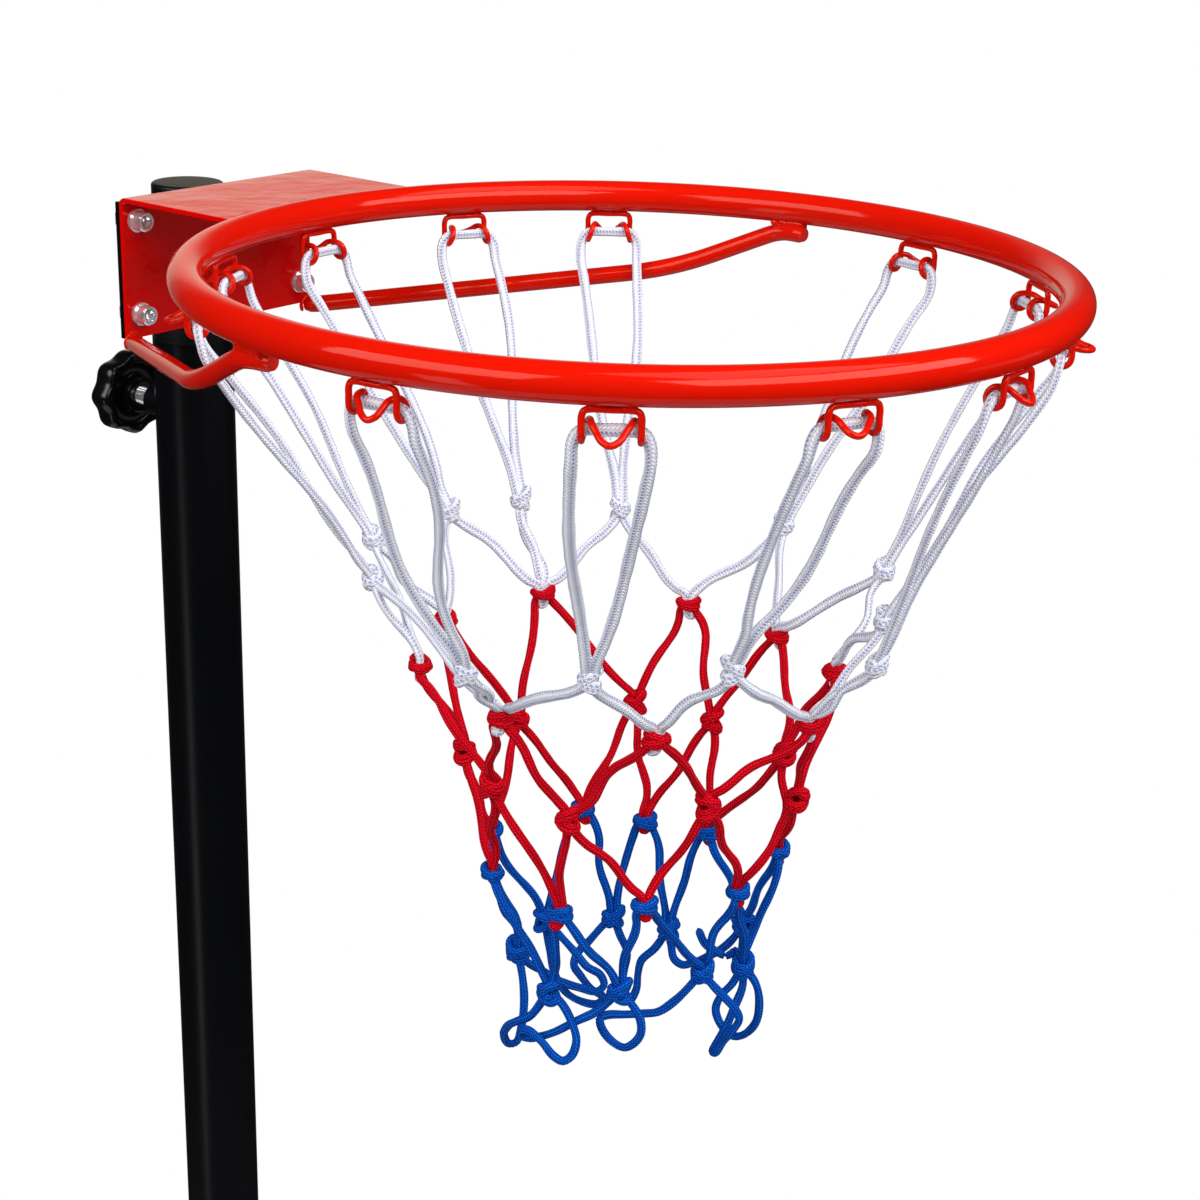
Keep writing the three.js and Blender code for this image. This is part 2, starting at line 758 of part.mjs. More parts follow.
function addKnob() {
  const rim = new THREE.ExtrudeGeometry(knobOutline(), {
    depth: knobDepth - 2 * knobEdge, steps: 1, bevelThickness: knobEdge, bevelSize: knobEdge, bevelSegments: 1,
  });
  // The lobes are drawn flat and face the post along -Y
  rim.translate(0, 0, knobEdge);
  rim.rotateX(-Math.PI / 2);
  rim.translate(0, knobFaceReach, 0);
  const faceStart = knobFaceReach - cutOverrun;
  const dish = ringAlongY(knobDish / 2, knobHub / 2, faceStart, knobFaceReach + knobDishDepth, 24, 24);
  const hub = solid(rodAlongY(knobHub / 2, knobFaceReach - knobHubDepth, knobFaceReach + knobDepth / 2, 24));
  const bore = solid(rodAlongY(clampScrew / 2 + touchGap, faceStart, screwEnd + touchGap, 16));
  const knob = solid(rim).subtract(dish).add(hub).subtract(bore);
  addSolid('clamp_knob', knob.translate([0, 0, clampZ]), blackPlastic);
}
addKnob();

// Lower tube, standing in the base's socket
function addLowerTube() {
  const tube = solid(tubeAlongZ(lowerRadius, lowerRadius - lowerWall, socketFloor + touchGap, lowerTop, 32));
  addSolid('lower_tube', tube.subtract(crossHole(jointBolt + 2 * boltGap, lowerTube)), blackCoat);
}
addLowerTube();

// Joint collar: a ring that caps the lower tube round the outer tube
const collarInside = outerRadius + socketGap;
addPiece('joint_collar', turned([
  [lowerRadius + socketGap, lowerTop - collarOver],
  [collarOutside / 2, lowerTop - collarOver],
  [collarOutside / 2, lowerTop - collarOver + collarHeight * 3 / 4],
  [collarInside + collarHeight / 10, lowerTop - collarOver + collarHeight],
  [collarInside, lowerTop - collarOver + collarHeight],
  [collarInside, lowerTop + touchGap],
  [lowerRadius + socketGap, lowerTop + touchGap],
], 24), blackPlastic);

// Joint bolt across the two tubes and its nut

function addJointBolt() {
  const seat = lowerRadius + touchGap;
  const bolt = solid(rodAlongX(jointBolt / 2, -seat, seat + jointNutHeight + boltTail, 12))
    .add(solid(rodAlongX(jointHead / Math.sqrt(3), -seat - jointHeadHeight, -seat, 6)));
  addSolid('joint_bolt', bolt.translate([0, 0, jointBoltZ]), zincSteel);
  const hole = rodAlongX(jointBolt / 2 + touchGap, 0, lowerTube, 12);
  const nut = solid(rodAlongX(jointHead / Math.sqrt(3), seat, seat + jointNutHeight, 6)).subtract(solid(hole));
  addSolid('joint_nut', nut.translate([0, 0, jointBoltZ]), zincSteel);
}
addJointBolt();

// Base tank: a blow moulded shell with a pole socket, flutes, wheel pockets, a filler neck and an axle tunnel

function roundedOutline(width, length, corner) {
  const outline = new THREE.Shape();
  const x = width / 2 - corner;
  const y = length / 2 - corner;
  outline.absarc(x, y, corner, 0, Math.PI / 2, false);
  outline.absarc(-x, y, corner, Math.PI / 2, Math.PI, false);
  outline.absarc(-x, -y, corner, Math.PI, 3 * Math.PI / 2, false);
  outline.absarc(x, -y, corner, 3 * Math.PI / 2, 2 * Math.PI, false);
  outline.closePath();
  return outline;
}

// The tank's main form, grown inwards by an inset
function tankForm(inset, bevels) {
  const edge = baseEdge - inset;
  const outline = roundedOutline(baseWidth - 2 * baseEdge, baseLength - 2 * baseEdge, baseCorner - baseEdge);
  const geometry = new THREE.ExtrudeGeometry(outline, {
    depth: baseHeight - 2 * baseEdge, steps: 1, bevelThickness: edge, bevelSize: edge, bevelSegments: bevels,
    curveSegments: 3,
  });
  return solid(geometry.translate(0, 0, baseEdge));
}

function coneForm(inset, foot) {
  const slope = (coneFoot - coneTop) / 2 / coneRise;
  const top = baseHeight + coneRise - inset;
  return solid(turned([
    [0, foot],
    [coneFoot / 2 - inset + slope * (baseHeight - foot), foot],
    [coneTop / 2 - inset, top],
    [0, top],
  ], 24));
}

function fluteForm(side, grow) {
  const width = fluteWidth + 2 * grow;
  const outline = roundedOutline(width, fluteLength + 2 * grow, width / 2 - touchGap);
  const geometry = new THREE.ExtrudeGeometry(outline, {
    depth: fluteDepth + grow + cutOverrun, steps: 1, bevelEnabled: false, curveSegments: 2,
  });
  return solid(geometry.translate(side * fluteX, 0, baseHeight - fluteDepth - grow));
}

function pocketForm(side, grow) {
  const inner = noseX - grow;
  const outer = baseWidth;
  const back = -baseLength / 2 + pocketLength + grow;
  const [x0, x1] = side > 0 ? [inner, outer] : [-outer, -inner];
  return solid(block(x0, x1, -baseLength, back, -cutOverrun, pocketHeight));
}

function addTank() {
  const neckBottom = baseHeight - baseWall - cutOverrun;
  const neckTop = baseHeight + neckRise;
  const neck = solid(rodAlongZ(neckOutside / 2, neckBottom, neckTop, 24).translate(fillerX, fillerY, 0));
  const mouth = solid(rodAlongZ(neckOutside / 2 - neckWall, neckBottom - cutOverrun, neckTop + cutOverrun, 24)
    .translate(fillerX, fillerY, 0));
  const socketRadius = lowerRadius + socketGap;
  const socketTop = baseHeight + coneRise + cutOverrun;
  const socket = solid(rodAlongZ(socketRadius, socketFloor, socketTop, 24));
  const socketWall = solid(rodAlongZ(socketRadius + baseWall, 0, socketTop, 12));
  const tunnel = (radius) => solid(rodAlongX(radius, -baseWidth, baseWidth, 16).translate(0, axleY, axleZ));
  const axleBore = axleRod / 2 + slideGap;
  let cavity = tankForm(baseWall, 1).add(coneForm(baseWall, baseWall));
  cavity = cavity.intersect(solid(block(-baseWidth, baseWidth, -baseLength, baseLength, baseWall, socketTop)));
  let outside = tankForm(0, 2).add(coneForm(0, baseHeight / 2));
  for (const side of [-1, 1]) {
    cavity = cavity.subtract(fluteForm(side, baseWall)).subtract(pocketForm(side, baseWall));
    outside = outside.subtract(fluteForm(side, 0)).subtract(pocketForm(side, 0));
  }
  cavity = cavity.subtract(socketWall).subtract(tunnel(axleBore + baseWall)).add(mouth);
  outside = outside.add(neck);
  addSolid('base_tank', outside.subtract(cavity).subtract(socket).subtract(tunnel(axleBore)), tankPlastic);
}
addTank();

// Filler cap: a ribbed cap over the neck

function addFillerCap() {
  const outline = new THREE.Shape();
  const count = fillerRibs * 2;
  for (let index = 0; index < count; index += 1) {
    const turn = 2 * Math.PI * index / count;
    const radius = fillerCap / 2 - (index % 2) * fillerRibDepth;
    if (index === 0) outline.moveTo(radius * Math.cos(turn), radius * Math.sin(turn));
    else outline.lineTo(radius * Math.cos(turn), radius * Math.sin(turn));
  }
  outline.closePath();
  const shell = new THREE.ExtrudeGeometry(outline, {
    depth: fillerCapHeight - touchGap - fillerRibDepth, steps: 1, bevelEnabled: false,
  });
  const top = rodAlongZ(fillerCap / 2 - fillerCapWall, 0, fillerCapHeight, 24);
  const inner = rodAlongZ(neckOutside / 2 + slideGap, -cutOverrun, neckRise + touchGap, 24);
  const body = solid(shell.translate(0, 0, touchGap)).add(solid(top.translate(0, 0, touchGap)))
    .subtract(solid(inner));
  addSolid('filler_cap', body.translate([fillerX, fillerY, baseHeight]), blackPlastic);
}
addFillerCap();

// Axle, wheels and axle caps

const axleEnd = wheelX + wheelWidth / 2 + wheelGap + axleCapHeight / 2;
addPiece('axle', rodAlongX(axleRod / 2, -axleEnd, axleEnd, 16).translate(0, axleY, axleZ), zincSteel);

function wheelGeometry() {
  const half = wheelWidth / 2;
  const bore = axleRod / 2 + wheelGap;
  return turned([
    [bore, -half],
    [wheelHub / 2, -half],
    [wheelHub / 2, -half + wheelDish],
    [wheelRim / 2, -half + wheelDish],
    [wheelRim / 2, -half + wheelTread / 2],
    [wheelRadius - wheelTread, -half + wheelTread / 2],
    [wheelRadius, -half + wheelTread * 2],
    [wheelRadius, half - wheelTread * 2],
    [wheelRadius - wheelTread, half - wheelTread / 2],
    [wheelRim / 2, half - wheelTread / 2],
    [wheelRim / 2, half - wheelDish],
    [wheelHub / 2, half - wheelDish],
    [wheelHub / 2, half],
    [bore, half],
  ], 16);
}

function axleCapGeometry() {
  const bore = axleRod / 2 + touchGap;
  return turned([
    [bore, 0],
    [axleCapOutside / 2, 0],
    [axleCapOutside / 2, axleCapHeight / 2],
    [axleCapOutside / 3, axleCapHeight],
    [0, axleCapHeight],
    [0, axleCapHeight / 2 + touchGap],
    [bore, axleCapHeight / 2 + touchGap],
  ], 16);
}

for (const [name, side] of [['left', -1], ['right', 1]]) {
  const wheel = addPiece(`wheel_${name}`, wheelGeometry(), blackPlastic);
  wheel.position.set(side * wheelX, axleY, axleZ);
  wheel.rotation.y = side * Math.PI / 2;
  const cap = addPiece(`axle_cap_${name}`, axleCapGeometry(), blackPlastic);
  cap.position.set(side * (axleEnd - axleCapHeight / 2), axleY, axleZ);
  cap.rotation.y = side * Math.PI / 2;
}

export default post;
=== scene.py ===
# Netball post, dressed for the camera: a red hoop with its knotted net, a sliding mast and a wheeled base.
# Places are millimetres in the row frame, +Z up and the hoop out along -Y. Each mesh is laid in metres.

import math

import bpy
import numpy as np
from mathutils import Matrix, Vector


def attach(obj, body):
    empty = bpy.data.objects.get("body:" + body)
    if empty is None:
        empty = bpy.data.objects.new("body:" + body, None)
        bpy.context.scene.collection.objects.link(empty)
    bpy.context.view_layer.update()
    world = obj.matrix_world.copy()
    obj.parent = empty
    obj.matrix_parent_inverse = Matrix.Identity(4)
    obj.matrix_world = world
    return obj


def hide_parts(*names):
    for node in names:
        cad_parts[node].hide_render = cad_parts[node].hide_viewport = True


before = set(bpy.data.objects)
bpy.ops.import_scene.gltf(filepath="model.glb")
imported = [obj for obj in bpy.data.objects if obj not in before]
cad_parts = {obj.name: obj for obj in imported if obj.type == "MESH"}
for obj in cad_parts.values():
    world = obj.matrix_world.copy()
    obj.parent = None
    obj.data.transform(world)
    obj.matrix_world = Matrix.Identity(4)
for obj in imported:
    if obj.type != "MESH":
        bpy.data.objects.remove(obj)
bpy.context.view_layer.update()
scene = bpy.context.scene


# Camera: stands a little above the hoop's rim, in front of its left side, with a short telephoto lens.
# Its place and turn were solved from the hoop's ellipse, the tubes' edges and the bracket's bolts.
camera_data = bpy.data.cameras.new("camera")
camera_data.lens = 66.556
camera_data.sensor_width = 36.0
camera_data.clip_start, camera_data.clip_end = 0.05, 50.0
camera = bpy.data.objects.new("camera", camera_data)
scene.collection.objects.link(camera)
stand = (-0.78761, -0.895477, 2.647846)
rightward = Vector((0.6213934, -0.7829752, 0.0286371))
downward = Vector((-0.2545972, -0.2363531, -0.9377193))
ahead = Vector((0.7409794, 0.5754017, -0.3462115))
camera_turn = Matrix((rightward, -downward, -ahead)).transposed().to_4x4()
camera.matrix_world = Matrix.Translation(stand) @ camera_turn
scene.camera = camera


# Studio: two soft boxes stand high beside the camera, a weaker one hangs over the hoop, and two small ones
# touch the tube's left edge and the cap. Gloss mirrors them in a dark room with a pale patch of backdrop
# behind the post. The camera sees plain white there.
TOWARD_PATCH = (0.641, 0.764, 0.070)
DARK_ROOM, PALE_PATCH, MATT_ROOM = (0.012, 0.012, 0.014, 1), (0.86, 0.80, 0.66, 1), (0.27, 0.27, 0.28, 1)
PATCH_EDGE = ((0.84, 0.015), (0.93, 0.05), (0.965, 0.22), (0.982, 0.58))
scene.view_settings.view_transform = "Standard"
world = bpy.data.worlds.new("studio")
scene.world = world
world.use_nodes = True
tree = world.node_tree
tree.nodes.clear()
link = tree.links.new
heading = tree.nodes.new("ShaderNodeTexCoord")
toward_backdrop = tree.nodes.new("ShaderNodeVectorMath")
toward_backdrop.operation = "DOT_PRODUCT"
toward_backdrop.inputs[1].default_value = TOWARD_PATCH
link(heading.outputs["Generated"], toward_backdrop.inputs[0])
spread = tree.nodes.new("ShaderNodeMapRange")
spread.inputs["From Min"].default_value = -1.0
spread.inputs["From Max"].default_value = 1.0
link(toward_backdrop.outputs["Value"], spread.inputs["Value"])
wash = tree.nodes.new("ShaderNodeValToRGB")
ramp = wash.color_ramp.elements
ramp[0].color, ramp[1].color = DARK_ROOM, PALE_PATCH
for position, value in PATCH_EDGE:
    ramp.new(position).color = (value, value * 0.90, value * 0.74, 1)
link(spread.outputs[0], wash.inputs[0])
matt_room, gloss_room, white_paper = (tree.nodes.new("ShaderNodeBackground") for _ in range(3))
matt_room.inputs[0].default_value = MATT_ROOM
link(wash.outputs[0], gloss_room.inputs[0])
white_paper.inputs[0].default_value = (1, 1, 1, 1)
ray = tree.nodes.new("ShaderNodeLightPath")
for_gloss, chosen = (tree.nodes.new("ShaderNodeMixShader") for _ in range(2))
link(ray.outputs["Is Glossy Ray"], for_gloss.inputs[0])
link(matt_room.outputs[0], for_gloss.inputs[1])
link(gloss_room.outputs[0], for_gloss.inputs[2])
link(ray.outputs["Is Camera Ray"], chosen.inputs[0])
link(for_gloss.outputs[0], chosen.inputs[1])
link(white_paper.outputs[0], chosen.inputs[2])
shown = tree.nodes.new("ShaderNodeOutputWorld")
link(chosen.outputs[0], shown.inputs[0])


def soft_box(name, place, aim, width, tall, watts):
    """A rectangle of light in metres that faces its aim, shows in gloss and is hidden from the camera."""
    light = bpy.data.lights.new(name, "AREA")
    light.shape = "RECTANGLE"
    light.size, light.size_y, light.energy = width, tall, watts
    lamp = bpy.data.objects.new(name, light)
    lamp.location = place
    lamp.rotation_euler = (Vector(aim) - Vector(place)).to_track_quat("-Z", "Y").to_euler()
    lamp.visible_camera = False
    scene.collection.objects.link(lamp)


HOOP_MIDDLE, TUBE_MIDDLE, CAP_EDGE = (0, -0.3, 2.4), (0, 0, 1.9), (-0.03, -0.03, 2.41)
soft_box("right", (0.0, -2.25, 3.75), HOOP_MIDDLE, width=3.3, tall=1.3, watts=60)
soft_box("left", (-2.06, 0.12, 3.57), HOOP_MIDDLE, width=2.2, tall=1.4, watts=35)
soft_box("top", (0.1, -1.1, 4.5), HOOP_MIDDLE, width=2.0, tall=1.2, watts=14)
soft_box("band", (-2.4, 0.05, 1.0), TUBE_MIDDLE, width=0.5, tall=1.4, watts=3.5)
soft_box("glint", (1.39, -1.68, 1.97), CAP_EDGE, width=1.0, tall=0.35, watts=0.3)


# Floor: a round of matt white paper under the base, in metres from the post's axis. It keeps the soft
# shadow there, and fades outwards into the plain white that the camera sees behind it.
FLOOR_RADIUS, FLOOR_SIDES = 2.0, 96
FADE = {"From Min": 0.5, "From Max": 0.9 * FLOOR_RADIUS, "To Min": 0.70, "To Max": 1.0}
floor_material = bpy.data.materials.new("paper")
floor_material.use_nodes = True
tree = floor_material.node_tree
tree.nodes.clear()
link = tree.links.new
spot = tree.nodes.new("ShaderNodeTexCoord")
away = tree.nodes.new("ShaderNodeVectorMath")
away.operation = "LENGTH"
link(spot.outputs["Object"], away.inputs[0])
fade = tree.nodes.new("ShaderNodeMapRange")
fade.interpolation_type = "SMOOTHSTEP"
for socket, value in FADE.items():
    fade.inputs[socket].default_value = value
link(away.outputs["Value"], fade.inputs["Value"])
seen = tree.nodes.new("ShaderNodeLightPath")
share = tree.nodes.new("ShaderNodeMath")
share.operation = "MULTIPLY"
link(fade.outputs[0], share.inputs[0])
link(seen.outputs["Is Camera Ray"], share.inputs[1])
matt_paper = tree.nodes.new("ShaderNodeBsdfDiffuse")
matt_paper.inputs["Color"].default_value = (0.8, 0.8, 0.8, 1)
bright_paper = tree.nodes.new("ShaderNodeEmission")
mixed = tree.nodes.new("ShaderNodeMixShader")
link(share.outputs[0], mixed.inputs[0])
link(matt_paper.outputs[0], mixed.inputs[1])
link(bright_paper.outputs[0], mixed.inputs[2])
shown = tree.nodes.new("ShaderNodeOutputMaterial")
link(mixed.outputs[0], shown.inputs[0])
round_turn = np.arange(FLOOR_SIDES) * 2 * np.pi / FLOOR_SIDES
rim = np.stack([np.cos(round_turn), np.sin(round_turn), np.zeros(FLOOR_SIDES)], 1) * FLOOR_RADIUS
floor_mesh = bpy.data.meshes.new("floor")
floor_mesh.from_pydata(rim.tolist(), [], [list(range(FLOOR_SIDES))])
floor_mesh.materials.append(floor_material)
floor = bpy.data.objects.new("floor", floor_mesh)
scene.collection.objects.link(floor)


# Hoop: one round steel bar rolled into a ring, its ends butt welded, under glossy red powder coat.
# Turns are in degrees round its middle, 0 towards the post.
HOOP_HEIGHT, HOOP_REACH, HOOP_RADIUS, BAR_R, BAR_SIDES, BAR_STEP = 2440.0, 296.0, 198.0, 8.0, 40, 1.5
UP = np.array([0.0, 0.0, 1.0])
MM = 0.001


def around_hoop(turn, radius, drop):
    """Minus radius by sine, radius by cosine less the hoop's reach, and the hoop's height less the drop."""
    angle = np.radians(turn)
    return np.stack(np.broadcast_arrays(-radius * np.sin(angle), radius * np.cos(angle) - HOOP_REACH,
                                        HOOP_HEIGHT - np.asarray(drop, float)), axis=-1)


def unit(vectors):
    """Each vector over its length."""
    return vectors / np.linalg.norm(vectors, axis=-1, keepdims=True)


def tube(line, radius, sides, facing, closed=False, flat=1.0):
    """Rings on a line: place plus radius times (flat by side by the cosine plus other side by the sine)."""
    if closed:
        heading = unit(np.roll(line, -1, axis=0) - np.roll(line, 1, axis=0))
    else:
        heading = unit(np.gradient(line, axis=0))
    facing = np.broadcast_to(np.asarray(facing, float), line.shape)
    side = unit(facing - heading * np.sum(facing * heading, axis=1, keepdims=True))
    other = np.cross(heading, side)
    angle = np.arange(sides) * 2 * np.pi / sides
    ring = flat * side[:, None] * np.cos(angle)[:, None] + other[:, None] * np.sin(angle)[:, None]
    reach = np.broadcast_to(np.asarray(radius, float), (len(line),))[:, None, None]
    return line[:, None] + ring * reach, closed


def grid_corners(rows, columns, wrap):
    """Each face's corners: this row and the next, this column and the next, round again where it wraps."""
    r = np.arange(rows if wrap else rows - 1)[:, None]
    c = np.arange(columns)[None, :]
    r2, c2 = (r + 1) % rows, (c + 1) % columns
    corners = [r * columns + c, r * columns + c2, r2 * columns + c2, r2 * columns + c]
    return np.stack(corners, -1).reshape(-1, 4)


def lay_piece(name, skins, body, material, stands_for=(), sharp=None):
    """One mesh of closed skins, each of rings, wrapped or capped: u is the share round, v the run along."""
    points, faces, marks, start = [], [], [], 0
    for grid, wrap in skins:
        rows, columns = grid.shape[:2]
        points.append(grid.reshape(-1, 3) * MM)
        quads = grid_corners(rows, columns, wrap)
        faces += (quads + start).tolist()
        middle = grid.mean(axis=1)
        gaps = np.linalg.norm(np.roll(middle, -1, axis=0) - middle, axis=1)
        run = np.concatenate([[0.0], np.cumsum(gaps)]) * MM
        row, column = np.divmod(np.arange(len(quads)), columns)
        low, high = column / columns, (column + 1) / columns
        first, second = run[row], run[row + 1]
        marks.append(np.stack([low, first, high, first, high, second, low, second], 1).ravel())
        if not wrap:
            faces += [list(range(start + columns - 1, start - 1, -1)),
                      list(range(start + (rows - 1) * columns, start + rows * columns))]
            marks.append(np.zeros(4 * columns))
        start += rows * columns
    mesh = bpy.data.meshes.new(name)
    mesh.from_pydata(np.concatenate(points).tolist(), [], faces)
    mesh.uv_layers.new(name="cord").data.foreach_set("uv", np.concatenate(marks).astype(np.float32))
    mesh.polygons.foreach_set("use_smooth", [True] * len(mesh.polygons))
    mesh.materials.append(material)
    if sharp is not None:
        mesh.set_sharp_from_angle(angle=math.radians(sharp))
    piece = bpy.data.objects.new(name, mesh)
    scene.collection.objects.link(piece)
    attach(piece, body)
    if stands_for:
        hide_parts(*stands_for)
    return piece


def finish_coat(name, colour, rough, specular, grain, grain_scale,
                metal=0.0, uneven=0.05, waves=0.0, cloud_scale=14.0, tint=(1.0, 1.0, 1.0)):
    """A coat, plastic or plating: fine grain and broad waves in its bump, and clouds in its roughness."""
    grain_depth, wave_depth = 0.2 * MM, 2 * MM
    made = bpy.data.materials.new(name)
    made.use_nodes = True
    tree = made.node_tree
    link = tree.links.new
    shader = tree.nodes["Principled BSDF"]
    shader.inputs["Base Color"].default_value = (*colour, 1)
    shader.inputs["Metallic"].default_value = metal
    shader.inputs["Specular IOR Level"].default_value = specular
    shader.inputs["Specular Tint"].default_value = (*tint, 1)
    where = tree.nodes.new("ShaderNodeTexCoord")
    cloud, fine = (tree.nodes.new("ShaderNodeTexNoise") for _ in range(2))
    for noise, scale, detail in ((cloud, cloud_scale, 4.0), (fine, grain_scale, 2.0)):
        noise.inputs["Scale"].default_value = scale
        noise.inputs["Detail"].default_value = detail
        link(where.outputs["Object"], noise.inputs["Vector"])
    sheen = tree.nodes.new("ShaderNodeMapRange")
    sheen.inputs["To Min"].default_value = rough - uneven
    sheen.inputs["To Max"].default_value = rough + uneven
    link(cloud.outputs["Fac"], sheen.inputs["Value"])
    link(sheen.outputs[0], shader.inputs["Roughness"])
    bump = tree.nodes.new("ShaderNodeBump")
    bump.inputs["Strength"].default_value = grain
    bump.inputs["Distance"].default_value = grain_depth
    link(fine.outputs["Fac"], bump.inputs["Height"])
    broad = tree.nodes.new("ShaderNodeBump")
    broad.inputs["Strength"].default_value = waves
    broad.inputs["Distance"].default_value = wave_depth
    link(cloud.outputs["Fac"], broad.inputs["Height"])
    link(bump.outputs[0], broad.inputs["Normal"])
    link(broad.outputs[0], shader.inputs["Normal"])
    return made


RED_COAT = finish_coat("red_coat", (0.71, 0.0070, 0.0011), rough=0.09, specular=0.29, grain=0.03,
                       grain_scale=260.0, uneven=0.03, waves=0.2, tint=(1.0, 0.84, 0.66))
rim_line = around_hoop(np.arange(0, 360, BAR_STEP), HOOP_RADIUS, 0)
lay_piece("hoop_bar", [tube(rim_line, BAR_R, BAR_SIDES, UP, closed=True)], "mast", RED_COAT,
          ["hoop"])


# Bracket: a folded steel sheet under red coat. Its upright flange bolts to the mast's plate, and its flat
# top, coped to the ring's curve, is welded on the hoop.
PLATE_BACK, PLATE_FRONT, BRACKET_FRONT = -19.15, -22.15, -24.65
BRACKET_HALF, BRACKET_SHEET, BRACKET_FOLD = 65.0, 2.5, 4.0
BRACKET_TOP, BRACKET_BOTTOM, COPE_RADIUS = 2446.0, 2373.5, HOOP_RADIUS - 1.0


def folded_sheet():
    """At each width: an upright, a quarter round and a level line to the ring, outer face then inner."""
    x = np.linspace(-BRACKET_HALF, BRACKET_HALF, 61)[:, None]
    reach = np.sqrt(COPE_RADIUS**2 - x**2) - HOOP_REACH
    angle = np.linspace(0, np.pi / 2, 9)
    level = np.linspace(0, 1, 6)[1:]
    faces = []
    for radius, back in ((BRACKET_FOLD, PLATE_FRONT), (BRACKET_FOLD - BRACKET_SHEET, BRACKET_FRONT)):
        y = np.concatenate([[back], PLATE_FRONT - BRACKET_FOLD + radius * np.cos(angle)])
        z = np.concatenate([[BRACKET_BOTTOM], BRACKET_TOP - BRACKET_FOLD + radius * np.sin(angle)])
        y = np.concatenate([np.broadcast_to(y, (len(x), len(y))), y[-1] + (reach - y[-1]) * level], axis=1)
        z = np.concatenate([z, np.full(len(level), z[-1])])
        faces.append(np.stack(np.broadcast_arrays(x, y, z), axis=-1))
    return np.concatenate([faces[0], faces[1][:, ::-1]], axis=1), False


def break_edges(piece, width):
    """A round of three faces and the given width over every edge that turns by more than 40 degrees."""
    edges = piece.modifiers.new("edges", "BEVEL")
    edges.width, edges.segments, edges.limit_method = width * MM, 3, "ANGLE"
    edges.angle_limit = math.radians(40.0)
    edges.harden_normals = True


RED_SHEET = finish_coat("red_sheet", (0.68, 0.0015, 0.0006), rough=0.10, specular=0.14, grain=0.03,
                        grain_scale=260.0, waves=0.6, cloud_scale=44.0, tint=(1.0, 0.95, 0.88))
sheet = lay_piece("bracket_sheet", [folded_sheet()], "mast", RED_SHEET, ["bracket"], sharp=40.0)
break_edges(sheet, width=0.45)


# Struts: two round steel rods, each bent at a knee and again under the hoop. They run from the bracket's
# lower corners up to the ring, are welded at both ends and have the hoop's red coat.
STRUT_R, STRUT_UNDER, STRUT_FOOT, STRUT_KNEE = 4.5, 12.65, (61.2, -23.6, 2371.56), (170.0, -194.0, 2402.0)
LAND_TURN, TIP_TURN, TIP_INWARD, KNEE_BEND, LAND_BEND = 76.0, 80.5, 4.5, 24.0, 8.0


def run_through(places, step, closed=False):
    """Hermite pieces through the places, with tangents weighted by the root of the span, in even steps."""
    places = np.asarray(places, float)
    before = places[-1:] if closed else 2 * places[:1] - places[1:2]
    after = places[:2] if closed else 2 * places[-1:] - places[-2:-1]
    line = np.concatenate([before, places, after])
    p0, p1, p2, p3 = line[:-3], line[1:-2], line[2:-1], line[3:]
    k0, k1, k2 = (np.sqrt(np.maximum(np.linalg.norm(b - a, axis=1), 1e-6))[:, None]
                  for a, b in ((p0, p1), (p1, p2), (p2, p3)))
    m1 = (p2 - p1) + k1 * ((p1 - p0) / k0 - (p2 - p0) / (k0 + k1))
    m2 = (p2 - p1) + k1 * ((p3 - p2) / k2 - (p3 - p1) / (k1 + k2))
    t = np.linspace(0, 1, 24, endpoint=False)[:, None, None]
    fine = ((2 * t**3 - 3 * t**2 + 1) * p1 + (t**3 - 2 * t**2 + t) * m1
            + (3 * t**2 - 2 * t**3) * p2 + (t**3 - t**2) * m2)
    fine = np.concatenate([fine.transpose(1, 0, 2).reshape(-1, 3), places[:1] if closed else places[-1:]])
    run = np.concatenate([[0.0], np.cumsum(np.linalg.norm(np.diff(fine, axis=0), axis=1))])
    marks = np.linspace(0.0, run[-1], max(4, int(round(run[-1] / step)) + 1))
    even = np.stack([np.interp(marks, run, fine[:, k]) for k in range(3)], axis=1)
    return even[:-1] if closed else even


def round_corner(start, corner, end, reach):
    """A corner rounded by the square-law blend of two points at a reach before and after it."""
    a, b = corner + unit(start - corner) * reach, corner + unit(end - corner) * reach
    t = np.linspace(0, 1, 9)[:, None]
    return (1 - t) ** 2 * a + 2 * t * (1 - t) * corner + t**2 * b


for label, side in (("left", -1), ("right", 1)):
    foot, knee = (np.array(place) * (side, 1, 1) for place in (STRUT_FOOT, STRUT_KNEE))
    land = around_hoop(-side * LAND_TURN, HOOP_RADIUS, STRUT_UNDER)
    tip = around_hoop(-side * TIP_TURN, HOOP_RADIUS - TIP_INWARD, STRUT_UNDER)
    first, second = round_corner(foot, knee, land, KNEE_BEND), round_corner(knee, land, tip, LAND_BEND)
    straight = foot + (first[0] - foot) * np.linspace(0, 0.97, 30)[:, None]
    line = run_through(np.vstack([straight, first, second, tip]), step=3.0)
    radius = STRUT_R * np.concatenate([[0.62, 0.93], np.ones(len(line) - 3), [0.78]])
    lay_piece(f"strut_rod_{label}", [tube(line, radius, 24, UP)], "mast", RED_COAT,
              [f"strut_{label}"], sharp=50.0)


